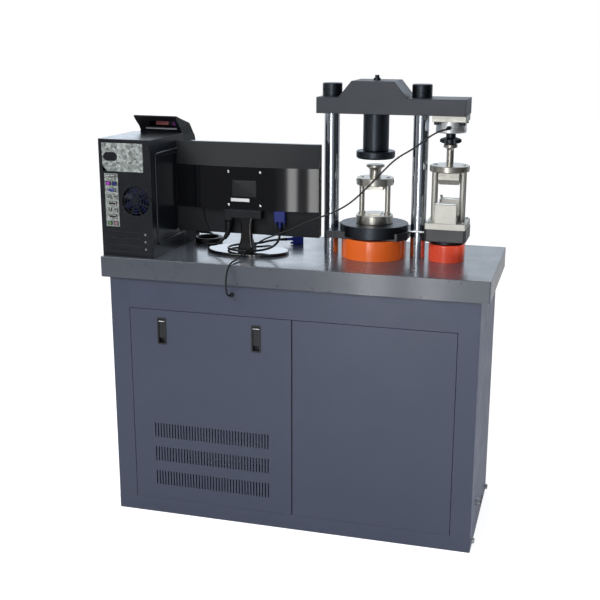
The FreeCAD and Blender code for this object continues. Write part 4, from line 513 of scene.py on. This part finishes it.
def cap_screw(radius, height, place):
    """Socket head screw: a round head with a chamfer and a hexagonal recess."""
    profile = [(0, 0), (radius, 0), (radius, height - 0.4), (radius - 0.4, height), (radius * 0.58, height, 6),
               (radius * 0.54, height - 0.3, 6), (radius * 0.54, height * 0.4, 6), (0, height * 0.4)]
    return turned(profile, place, 48)


def thumb_screw(radius, length, place):
    """Knurled knob: a polygon of eighteen sides with rounded ends and a driver's dimple."""
    profile = [(0, 0), (radius * 0.8, 0), (radius, 0.6, 18), (radius, length - 0.6, 18),
               (radius * 0.8, length), (radius * 0.4, length), (0, length - 0.8)]
    return turned(profile, place, 72)


def line_of(points):
    """Places along the smooth line that a route's points give, in metres."""
    made = route_curve("route", points)
    obj = bpy.data.objects.new("route", made)
    mesh = bpy.data.meshes.new_from_object(obj)
    places = np.empty(len(mesh.vertices) * 3)
    mesh.vertices.foreach_get("co", places)
    bpy.data.objects.remove(obj)
    bpy.data.curves.remove(made)
    bpy.data.meshes.remove(mesh)
    return places.reshape(-1, 3)


def boot(line, start, length, thick, thin, ribs):
    """Strain relief along a line: radius falls from thick to thin, less a cosine groove for each rib."""
    gaps = np.linalg.norm(np.diff(line, axis=0), axis=1)
    along = np.concatenate([[0], np.cumsum(gaps)])
    share = np.concatenate([[0], np.linspace(0, 1, 12 * ribs + 1), [1]])
    s = start + share * length * MM
    centre = np.stack([np.interp(s, along, line[:, k]) for k in range(3)], axis=-1)
    ahead = np.stack([np.interp(s + MM, along, line[:, k]) - np.interp(s - MM, along, line[:, k])
                      for k in range(3)], axis=-1)
    ahead = ahead / np.linalg.norm(ahead, axis=1)[:, None]
    aside = np.cross(ahead, np.array([0.31, 0.95, 0.05]))
    aside = aside / np.linalg.norm(aside, axis=1)[:, None]
    across = np.cross(ahead, aside)
    radius = (thick + (thin - thick) * share) / 2 - 0.45 * (0.5 - 0.5 * np.cos(2 * math.pi * ribs * share))
    radius = (radius * np.concatenate([[0], np.ones(12 * ribs + 1), [0]]) * MM)[:, None, None]
    t = np.linspace(0, 2 * math.pi, 24, endpoint=False)[None, :, None]
    ring = aside[:, None] * np.cos(t) + across[:, None] * np.sin(t)
    return centre[:, None] + radius * ring, False, True


def band_place(x, z):
    """Frame on the display's bowed band at a place in metres, facing out of it."""
    cx, front = BAND_CENTRE
    middle = front + BAND_RADIUS
    y = middle - math.sqrt(BAND_RADIUS ** 2 - (x - cx) ** 2)
    return facing((x, y, z), (x - cx, y - middle, 0))


def bowed(patch, x):
    """Bend a flat plate that stands at x to the band: y gains (x distance)^2 over twice the band's radius."""
    points, closed_rows, closed_columns = patch
    bent = points.copy()
    bent[..., 1] += (points[..., 0] - x) ** 2 / (2 * BAND_RADIUS)
    return bent, closed_rows, closed_columns


def route_curve(name, points):
    """Smooth line with the given points as its control points."""
    data = bpy.data.curves.new(name, "CURVE")
    data.dimensions = "3D"
    data.resolution_u = 10
    line = data.splines.new("NURBS")
    line.points.add(len(points) - 1)
    for point, place in zip(line.points, points):
        point.co = (*place, 1.0)
    line.order_u = 3
    line.use_endpoint_u = True
    line.use_smooth = True
    return data


def curve_of(name, points, diameter, material, body):
    """Round cord along a smooth line with the given points as its control points."""
    data = route_curve(name, points)
    data.bevel_depth = diameter / 2
    data.bevel_resolution = 5
    data.use_fill_caps = True
    made = bpy.data.objects.new(name, data)
    bpy.context.scene.collection.objects.link(made)
    made.data.materials.append(material)
    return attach(made, body)


# Routes of the leads, in metres, as in the part's source


def load_cell_route():
    """From the gland, before the columns and the jig, over the worktop's edge and into the rail's gland."""
    return [
        (0.424, -0.045, 1.212), (0.424, -0.074, 1.212), (0.407, -0.093, 1.209), (0.378, -0.095, 1.193),
        (0.337, -0.093, 1.159), (0.284, -0.090, 1.128), (0.240, -0.090, 1.082), (0.196, -0.090, 1.034),
        (0.146, -0.090, 0.987), (0.092, -0.092, 0.959), (0.034, -0.095, 0.937), (-0.020, -0.098, 0.909),
        (-0.070, -0.100, 0.890), (-0.112, -0.101, 0.872), (-0.140, -0.104, 0.851), (-0.157, -0.119, 0.838),
        (-0.163, -0.146, 0.833), (-0.166, -0.186, 0.826), (-0.167, -0.243, 0.8275), (-0.167, -0.276, 0.7945),
        (-0.167, -0.276, 0.752), (-0.167, -0.254, 0.730), (-0.167, -0.213, 0.730),
    ]


def signal_route():
    """From the display's plug down to the foot, round the neck and out to the loose plug."""
    return [
        (-0.066, -0.069, 0.9031), (-0.066, -0.069, 0.872), (-0.084, -0.071, 0.848), (-0.110, -0.081, 0.838),
        (-0.138, -0.098, 0.836), (-0.170, -0.109, 0.836), (-0.206, -0.103, 0.836), (-0.231, -0.078, 0.836),
        (-0.233, -0.043, 0.836), (-0.212, -0.015, 0.836), (-0.180, 0.000, 0.836), (-0.153, 0.017, 0.837),
        (-0.138, 0.042, 0.839), (-0.115, 0.066, 0.8395), (-0.089, 0.081, 0.8395),
    ]


def power_route():
    """From the display's inlet down to the coil, round its turns, and out to the mains plug."""
    outer = sizes().coil_radius
    x, y, z = COIL_CENTRE
    inward = [
        (-0.228, -0.069, 0.9211), (-0.228, -0.069, 0.886), (-0.244, -0.073, 0.860), (-0.270, -0.073, 0.842),
        (-0.306, -0.058, 0.838), (-0.305, -0.018, z),
    ]
    steps = 14
    turns = sizes().coil_turns
    t = np.arange(turns * steps + 3) / steps
    swell = 1 / math.cos(math.pi / steps)
    radius = (outer - COIL_PITCH * np.abs((t + 1) % 2 - 1)) * swell
    rise = np.clip(t / 2 - 0.5, 0, turns / 2 - 1) * COIL_PITCH
    ring = [(x + r * math.cos(2 * math.pi * a), y + r * math.sin(2 * math.pi * a), z + h)
            for r, a, h in zip(radius, t, rise)]
    outward = [(-0.334, 0.095, z + 0.012), (-0.347, 0.124, z + 0.004), (-0.373, 0.146, 0.834),
               (-0.4057, 0.154, 0.834)]
    return inward + ring + outward


class TESTER_OT_leads(bpy.types.Operator):
    """Lay the load cell's cable, the signal cable and the display's mains lead"""

    bl_idname = "tester.leads"
    bl_label = "Leads"

    def execute(self, context):
        jacket = moulded("pvc_jacket", linear("#0c0d10"), 0.40, 0.6 * MM, Specular_IOR_Level=0.35)
        cell = curve_of("load_cell_lead", load_cell_route(), sizes().cell_cable, jacket, "frame")
        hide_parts("load_cell_cable")
        signal = curve_of("signal_lead", signal_route(), sizes().signal_cable, jacket, "frame")
        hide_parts("signal_cable")
        power = curve_of("mains_lead", power_route(), sizes().power_lead, jacket, "frame")
        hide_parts("power_lead", "power_lead_coil")
        return {"FINISHED"}


class TESTER_OT_boots(bpy.types.Operator):
    """Mould the ribbed strain reliefs where the leads leave their plugs and glands"""

    bl_idname = "tester.boots"
    bl_label = "Strain reliefs"

    def execute(self, context):
        rubber = moulded("soft_pvc_boot", linear("#0c0d10"), 0.42, 0.8 * MM, Specular_IOR_Level=0.35)
        cell = line_of(load_cell_route())
        signal = line_of(signal_route())
        power = line_of(power_route())
        surface("cell_boot", [boot(cell, 0.003, 24, 11, 6.6, 5)], rubber, "frame")
        surface("signal_boot", [boot(signal, 0.0005, 20, 10.5, 8.4, 4)], rubber, "frame")
        surface("loose_plug_boot", [boot(signal[::-1], 0.0005, 20, 10.5, 8.4, 4)], rubber, "frame")
        surface("mains_inlet_boot", [boot(power, 0.0005, 60, 27, 12, 7)], rubber, "frame")
        surface("mains_plug_boot", [boot(power[::-1], 0.0005, 34, 14, 8.6, 6)], rubber, "frame")
        return {"FINISHED"}


class TESTER_OT_display_fittings(bpy.types.Operator):
    """Fit the display's bracket screws, bare label plates, thumb screws, keys and lamp"""

    bl_idname = "tester.display_fittings"
    bl_label = "Display fittings"

    def execute(self, context):
        radius = sizes().pan_head / MM / 2
        zinc = machined("bright_zinc_screw", linear("#dfe1e0"), 0.22)
        grey = moulded("bare_foil_plate", linear("#17191b"), 0.55, 1.2 * MM, Specular_IOR_Level=0.3)
        white = moulded("white_vinyl_strip", linear("#d9dadb"), 0.5, 1.2 * MM)
        black = moulded("abs_key_black", linear("#101114"), 0.3)
        green = moulded("green_lamp_lens", linear("#3fae5c"), 0.15)
        cx, cz = BRACKET_CENTRE
        heads = [pan_head(radius, band_place(cx + i * BRACKET_HALF, cz + k * BRACKET_HALF))
                 for i in (-1, 1) for k in (-1, 1)]
        surface("bracket_screws", heads, zinc, "monitor")
        plate = bowed(slab(75.4, 49, 1.2, 0.5, band_place(*LABEL_CENTRE), 0.2), LABEL_CENTRE[0])
        surface("label_plate", [plate], grey, "monitor")
        strip = bowed(slab(58.4, 10, 0.6, 0.7, band_place(*STRIP_CENTRE), 0.2), STRIP_CENTRE[0])
        surface("label_strip", [strip], white, "monitor")
        plug = np.array(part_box("monitor_plug"))
        middle = plug.mean(axis=0)
        screws = [thumb_screw(3.4, 9, facing((middle[0] + side * 0.0125, middle[1], plug[0][2] + 0.0125),
                                             (0, 0, -1), (0, 1, 0))) for side in (-1, 1)]
        surface("signal_thumb_screws", screws, black, "monitor")
        screen = np.array(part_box("monitor_screen"))
        keys = [slab(11, 3.6, 1.6, 1.2, facing((screen[0][0] + 0.040 + i * 0.018, screen[1][1] - 0.0002,
                                                screen[0][2] + 0.010), (0, 1, 0))) for i in range(5)]
        surface("display_keys", keys, black, "monitor")
        lens = turned([(0, 0), (1.8, 0), (1.8, 0.5), (1.2, 0.9), (0, 1.0)],
                      facing((screen[0][0] + 0.024, screen[1][1] - 0.0002, screen[0][2] + 0.010), (0, 1, 0)))
        surface("display_lamp", [lens], green, "monitor")
        return {"FINISHED"}


class TESTER_OT_computer_fittings(bpy.types.Operator):
    """Fit the computer's screws, sockets, jacks and the parts seen through its bezel's window"""

    bl_idname = "tester.computer_fittings"
    bl_label = "Computer fittings"

    def execute(self, context):
        radius = sizes().pan_head / MM / 2
        zinc = machined("zinc_screw_small", linear("#9c9f9f"), 0.32)
        dark = machined("black_zinc_screw", linear("#3a3d42"), 0.34)
        nickel = machined("nickel_plated_shell", linear("#cfd0cc"), 0.22)
        black = moulded("black_socket_insert", linear("#0b0c0e"), 0.4)
        blue = moulded("blue_socket_insert", linear("#24357c"), 0.4)
        green = moulded("lime_jack", linear("#62805a"), 0.4)
        pink = moulded("pink_jack", linear("#9a7880"), 0.4)
        paper = moulded("dark_varnished_board", linear("#17231d"), 0.45, 2.0 * MM)
        # Painted light: the pin headers' red and violet are lightened to stand in for light in the bezel's
        # shaded window; the violet also colours the keyboard jack
        red = moulded("red_pin_header_painted_light", linear("#e07c80"), 0.4)
        violet = moulded("violet_pin_header_painted_light", linear("#a63cb8"), 0.4)
        pale = moulded("light_guide_strip", linear("#c9ccd1"), 0.3)
        x0, x1, z0, z1 = PSU_FACE
        corners = [(x0 + 6, z1 - 6), (x1 - 6, z1 - 6), (x1 - 6, z0 + 8), (x0 + 24, z0 + 6)]
        surface("supply_screws", [pan_head(radius * 0.9, case_place(x, -0.8, z)) for x, z in corners], zinc,
                "frame")
        fx, fz = FAN_CENTRE
        corners = [(fx + i * FAN_SCREW_REACH, fz + k * FAN_SCREW_REACH) for i in (-1, 1) for k in (-1, 1)]
        heads = [pan_head(radius * 0.7, case_place(x, 0, z)) for x, z in corners]
        surface("fan_screws", heads, dark, "frame")
        edge = [(CASE_WIDTH / MM - 6, z) for z in (24, 176, 326)]
        knobs = [thumb_screw(4.2, 6, case_place(x, 0, z)) for x, z in edge]
        surface("side_panel_screws", knobs, dark, "frame")
        clamp = [(142.5, z) for z in (26, 48, 70)]
        heads = [pan_head(radius * 0.75, case_place(x, 0.8, z)) for x, z in clamp]
        surface("clamp_screws", heads, zinc, "frame")
        sx0, sx1, sz0, sz1 = SHIELD
        pitch = (sz1 - sz0) / 8
        wide = [sz0 + pitch * (i + 0.5) for i in range(1, 8, 2)]
        pairs = [sz0 + pitch * (i + 0.5) for i in range(0, 8, 2)]
        middle = (sx0 + sx1) / 2
        shells = [socket_of(27, 10.5, 2.0, 1.0, 7, 3.4, case_place(middle, 0, z)) for z in wide]
        shells += [socket_of(13, 11, 0.8, 0.9, 7, 2.6, case_place(middle + s * 10.2, 0, z))
                   for z in pairs[1:3] for s in (-1, 1)]
        surface("socket_shells", shells, nickel, "frame")
        tongues = [slab(20, 4.2, 0.8, 5.8, case_place(middle, 3.0, z)) for z in wide[:2]]
        tongues += [slab(8, 1.8, 0.3, 4.6, case_place(middle + s * 10.2, 3.0, z + 1.6))
                    for z in pairs[1:3] for s in (-1, 1)]
        surface("socket_tongues", tongues, black, "frame")
        insert = slab(20, 6.4, 1.6, 6.6, case_place(middle, 3.0, wide[2]))
        surface("video_socket", [insert], blue, "frame")
        ring = [(0, 0), (5.2, 0), (5.2, 3.0), (4.8, 3.4), (2.2, 3.4), (2.0, 3.0), (2.0, 0.6), (0, 0.6)]
        for name, colour, slot, x, z in (
                ("speaker_jack", green, "green_plastic", middle - 10.2, pairs[0]),
                ("microphone_jack", pink, "red_plastic", middle + 10.2, pairs[0]),
                ("line_jack", blue, "blue_plastic", middle + 10.2, pairs[3]),
                ("keyboard_jack", violet, "blue_plastic", middle - 10.2, pairs[3])):
            surface(name, [turned(ring, case_place(x, 0.4, z))], colour, "frame")
        h = CASE_HEIGHT / MM
        surface("bezel_board", [slab(84, 15, 0.6, 1.6, case_place(106, 246, h + 26.5))], paper, "frame")
        surface("red_header", [slab(44, 12, 1.5, 7, case_place(93, 244.4, h + 27.5), 1.2)], red, "frame")
        surface("violet_header", [slab(16, 13, 1.5, 8, case_place(137, 244.4, h + 27), 1.2)], violet, "frame")
        surface("light_guide", [slab(108, 4.6, 1.2, 5.0, case_place(95, 231.8, h + 11.5))], pale, "frame")
        return {"FINISHED"}


class TESTER_OT_frame_fittings(bpy.types.Operator):
    """Fit the frame's and jigs' screws and nuts"""

    bl_idname = "tester.frame_fittings"
    bl_label = "Frame fittings"

    def execute(self, context):
        dark = machined("black_oxide_screw", linear("#1c1e22"), 0.35)
        bright = machined("bright_steel_screw", linear("#c9ccce"), 0.24)
        up = (0, 1, 0)
        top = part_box("compression_jig_guide")[1][2]
        jig = [cap_screw(5.0, 3.0, facing((MAIN_X + s * PRISM_JIG_SCREW, FRAME_Y, top), (0, 0, 1), up))
               for s in (-1, 1)]
        surface("compression_jig_screws", jig, bright, "compression_ram")
        low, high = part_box("compression_jig_guide")
        z = (low[2] + high[2]) / 2
        side = [cap_screw(3.2, 2.0, facing((MAIN_X + s * PRISM_JIG_RADIUS, FRAME_Y, z), (s, 0, 0)))
                for s in (-1, 1)]
        surface("bush_screws", side, dark, "compression_ram")
        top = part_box("flexure_jig_guide")[1][2]
        jig = [cap_screw(5.5, 3.0, facing((FLEXURE_X + s * FLEXURE_JIG_SCREW, FRAME_Y, top), (0, 0, 1), up))
               for s in (-1, 1)]
        surface("flexure_jig_screws", jig, bright, "flexure_ram_set")
        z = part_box("ram_block")[1][2] + FLEXURE_BASE_HEIGHT
        reach = FLEXURE_BASE_SCREW
        base = [cap_screw(4.2, 3.2, facing((FLEXURE_X + i * reach, FRAME_Y + k * reach, z), (0, 0, 1), up))
                for i in (-1, 1) for k in (-1, 1)]
        surface("flexure_base_screws", base, bright, "flexure_ram_set")
        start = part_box("guide_bars")[0][0] + 0.0005
        nuts = [turned([(3.1, 0), (5.6, 0, 6), (5.6, 4.2, 6), (4.8, 5, 0), (3.1, 5)],
                       facing((start, FRAME_Y + s * GUIDE_BAR_REACH, GUIDE_BAR_Z), (1, 0, 0)), 48)[0]
                for s in (-1, 1)]
        surface("guide_bar_nuts", [(n, True, True) for n in nuts], bright, "flexure_ram_set")
        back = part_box("crosshead")[1][1]
        lock = [cap_screw(5.0, 1.2, facing((x, back, CROSSHEAD_Z), (0, 1, 0))) for x in COLUMNS_X]
        surface("column_lock_screws", lock, dark, "frame")
        return {"FINISHED"}


class TESTER_OT_cabinet_fittings(bpy.types.Operator):
    """Fit the cabinet's rail screws, latch pins and the plates behind the controls"""

    bl_idname = "tester.cabinet_fittings"
    bl_label = "Cabinet fittings"

    def execute(self, context):
        radius = sizes().pan_head / MM / 2
        zinc = machined("zinc_pan_screw", linear("#b7babb"), 0.3)
        steel = machined("bright_pivot_pin", linear("#c9cbcc"), 0.25)
        yellow = moulded("yellow_legend_plate", linear("#e0b21c"), 0.35)
        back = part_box("cabinet_rails")[1][1]
        heads = [pan_head(radius, facing((x, back, z), (0, 1, 0)))
                 for x in RAIL_SCREWS_X for z in RAIL_SCREWS_Z]
        surface("rail_screws", heads, zinc, "frame")
        for side in ("left", "right"):
            low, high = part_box(f"{side}_latch_paddle")
            x = (low[0] + high[0]) / 2
            pin = turned([(0, -13.4), (1.3, -13.4), (1.3, 13.4), (0, 13.4)],
                         facing((x, *LATCH_PIN), (1, 0, 0)), 20)
            surface(f"{side}_latch_pin", [pin], steel, "cabinet_panel")
        low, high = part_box("stop_button")
        z = (low[2] + high[2]) / 2
        hole = (high[0] - low[0]) / 2 / MM + 0.8
        ring = turned([(hole, 0), (hole + 9, 0), (hole + 9, 0.9), (hole + 8.4, 1.4), (hole, 1.4)],
                      facing(((low[0] + high[0]) / 2, back, z), (0, 1, 0)), 64)[0]
        surface("stop_plate", [(ring, True, True)], yellow, "frame")
        low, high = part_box("pump_button")
        ring = turned([(11.6, 0), (15, 0), (15, 1.6), (14, 2.6), (11.6, 2.6)],
                      facing(((low[0] + high[0]) / 2, back, z), (0, 1, 0)), 64)[0]
        surface("pump_ring", [(ring, True, True)], zinc, "frame")
        return {"FINISHED"}


class TESTER_OT_finishes(bpy.types.Operator):
    """Give every CAD node its finish"""

    bl_idname = "tester.finishes"
    bl_label = "Finishes"

    def execute(self, context):
        made = finishes()
        missing = sorted(set(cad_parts) ^ set(NODE_FINISH))
        if missing:
            raise RuntimeError(f"nodes without a finish, or finishes without a node: {missing}")
        for name, key in NODE_FINISH.items():
            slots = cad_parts[name].data.materials
            for i in range(len(slots)):
                slots[i] = made[key]
        return {"FINISHED"}


class TESTER_OT_camera(bpy.types.Operator):
    """Set the camera at the photograph's viewing angle"""

    bl_idname = "tester.camera"
    bl_label = "Camera"

    def execute(self, context):
        place = Vector((0.810839, -2.973076, 1.499112))
        yaw = 0.2735
        pitch = 0.2634
        roll = 0.0011
        ahead = Vector((-math.sin(yaw) * math.cos(pitch), math.cos(yaw) * math.cos(pitch), -math.sin(pitch)))
        right = Vector((math.cos(yaw), math.sin(yaw), 0))
        up = right.cross(ahead)
        across = right * math.cos(roll) + up * math.sin(roll)
        upward = up * math.cos(roll) - right * math.sin(roll)
        data = bpy.data.cameras.new("camera")
        data.sensor_width = 36
        data.lens = 61.714
        made = bpy.data.objects.new("camera", data)
        turn = Matrix((across, upward, -ahead)).transposed()
        made.matrix_world = Matrix.Translation(place) @ turn.to_4x4()
        context.scene.collection.objects.link(made)
        context.scene.camera = made
        return {"FINISHED"}


def lamp(name, place, target, width, height, power):
    """Soft rectangular lamp that faces a point."""
    data = bpy.data.lights.new(name, "AREA")
    data.shape = "RECTANGLE"
    data.size = width
    data.size_y = height
    data.energy = power
    made = bpy.data.objects.new(name, data)
    made.location = place
    made.rotation_euler = (Vector(target) - Vector(place)).to_track_quat("-Z", "Y").to_euler()
    bpy.context.scene.collection.objects.link(made)
    return made


def card(name, x, y, z, glow, tint=(1, 1, 1)):
    """Upright card between two x, two y and two z places, whose tinted glow only gloss and metal see."""
    mesh = bpy.data.meshes.new(name)
    mesh.from_pydata([(x[0], y[0], z[0]), (x[1], y[1], z[0]), (x[1], y[1], z[1]), (x[0], y[0], z[1])], [],
                     [(0, 1, 2, 3)])
    made = bpy.data.objects.new(name, mesh)
    bpy.context.scene.collection.objects.link(made)
    glowing = blank(name, (0, 0, 0), 0.0, 1.0, Emission_Color=(*tint, 1), Emission_Strength=glow)[0]
    made.data.materials.append(glowing)
    made.visible_camera = False
    made.visible_diffuse = False
    made.visible_shadow = False
    return made


class TESTER_OT_stage(bpy.types.Operator):
    """Lay the pale floor, the white backdrop, the soft lamps and the cards that gloss and metal reflect"""

    bl_idname = "tester.stage"
    bl_label = "Stage"

    def execute(self, context):
        scene = context.scene
        scene.view_settings.view_transform = "Standard"
        reach = 14.0
        mesh = bpy.data.meshes.new("floor")
        mesh.from_pydata([(-reach, -reach, 0), (reach, -reach, 0), (reach, reach, 0), (-reach, reach, 0)], [],
                         [(0, 1, 2, 3)])
        floor = bpy.data.objects.new("floor", mesh)
        scene.collection.objects.link(floor)
        paint, tree, shader = blank("pale_floor", colours().floor[:], 0.0, 0.8, Emission_Color=(1, 1, 1, 1))
        path = node(tree, "ShaderNodeLightPath")
        lift = node(tree, "ShaderNodeMath", {0: path.outputs["Is Camera Ray"], 1: 0.62}, operation="MULTIPLY")
        tree.links.new(lift.outputs[0], shader.inputs["Emission Strength"])
        floor.data.materials.append(paint)
        world = bpy.data.worlds.new("studio")
        scene.world = world
        world.use_nodes = True
        tree = world.node_tree
        background = tree.nodes["Background"]
        path = node(tree, "ShaderNodeLightPath")
        place = node(tree, "ShaderNodeTexCoord")
        split = node(tree, "ShaderNodeSeparateXYZ", {0: place.outputs["Generated"]})
        behind = node(tree, "ShaderNodeMapRange", {0: split.outputs["Y"], 1: -0.4, 2: 0.5, 3: 0.25, 4: 1.0})
        plain = node(tree, "ShaderNodeMix", {0: path.outputs["Is Glossy Ray"], 2: 0.42, 3: behind.outputs[0]},
                     data_type="FLOAT")
        clear = node(tree, "ShaderNodeMath", {0: path.outputs["Is Camera Ray"],
                                              1: path.outputs["Is Transmission Ray"]}, operation="MAXIMUM")
        strength = node(tree, "ShaderNodeMix", {0: clear.outputs[0], 2: plain.outputs[0], 3: 1.0},
                        data_type="FLOAT")
        tree.links.new(strength.outputs[0], background.inputs["Strength"])
        tint = node(tree, "ShaderNodeMix",
                    {0: path.outputs["Is Glossy Ray"], 6: (1, 1, 1, 1), 7: (0.86, 0.92, 1, 1)}, data_type="RGBA")
        tree.links.new(tint.outputs[2], background.inputs["Color"])
        lamp("key_lamp", (-1.6, -3.2, 3.2), (0, 0, 0.7), 2.4, 2.0, sizes().key_light)
        low = lamp("side_lamp", (2.0, -0.5, 0.30), (0.5, 0, 0.30), 0.9, 0.6, sizes().side_light)
        low.visible_glossy = False
        card("left_strip", (-0.27, -0.13), (STRIP_Y, STRIP_Y), (0.0, 1.9), 8.0)
        card("right_strip", (0.05, 0.17), (STRIP_Y, STRIP_Y), (0.0, 1.9), 8.0)
        card("bright_card", (0.30, 0.62), (STRIP_Y, STRIP_Y), (0.0, 2.2), 1.4)
        card("dim_card", (0.62, 1.90), (STRIP_Y, STRIP_Y), (0.0, 2.2), 0.3, (0.8, 0.9, 1.0))
        card("left_flag", (-4.0, -0.45), (FLAG_Y, FLAG_Y), (0.0, 2.4), 0.2)
        card("back_left_card", (-5.0, -1.15), (BACK_Y, BACK_Y), (1.05, 4.0), 1.9, SKY_BLUE)
        card("back_right_card", (-1.15, 5.0), (BACK_Y, BACK_Y), (1.05, 4.0), 1.15, SKY_BLUE)
        card("far_flag", (0.4, 2.4), (FAR_FLAG_Y, FAR_FLAG_Y), (0.3, 1.04), 0.05)
        card("right_flag", (RIGHT_X, RIGHT_X), (-5.0, 2.2), (0.0, 2.6), 0.03)
        return {"FINISHED"}


class TESTER_PT_panel(bpy.types.Panel):
    """Buttons and settings of the tester's looks"""

    bl_idname = "TESTER_PT_panel"
    bl_label = "Tester"
    bl_space_type = "VIEW_3D"
    bl_region_type = "UI"
    bl_category = "Tester"

    def draw(self, context):
        column = self.layout.column()
        for operator in OPERATORS:
            column.operator(operator.bl_idname)
        for group in (context.scene.tester_sizes, context.scene.tester_colours):
            for name in group.__annotations__:
                column.prop(group, name)


OPERATORS = (TESTER_OT_camera, TESTER_OT_leads, TESTER_OT_boots, TESTER_OT_finishes,
             TESTER_OT_display_fittings, TESTER_OT_computer_fittings, TESTER_OT_frame_fittings,
             TESTER_OT_cabinet_fittings, TESTER_OT_stage)
CLASSES = (TesterSizes, TesterColours, *OPERATORS, TESTER_PT_panel)


def register():
    """Register the classes and attach the settings to the scene."""
    for item in CLASSES:
        bpy.utils.register_class(item)
    bpy.types.Scene.tester_sizes = bpy.props.PointerProperty(type=TesterSizes)
    bpy.types.Scene.tester_colours = bpy.props.PointerProperty(type=TesterColours)


def unregister():
    """Take the settings and classes away again."""
    del bpy.types.Scene.tester_colours
    del bpy.types.Scene.tester_sizes
    for item in reversed(CLASSES):
        bpy.utils.unregister_class(item)


def main():
    """Build everything in order."""
    register()
    bpy.ops.tester.camera()
    bpy.ops.tester.leads()
    bpy.ops.tester.boots()
    bpy.ops.tester.finishes()
    bpy.ops.tester.display_fittings()
    bpy.ops.tester.computer_fittings()
    bpy.ops.tester.frame_fittings()
    bpy.ops.tester.cabinet_fittings()
    bpy.ops.tester.stage()


if __name__ == "__main__":
    main()
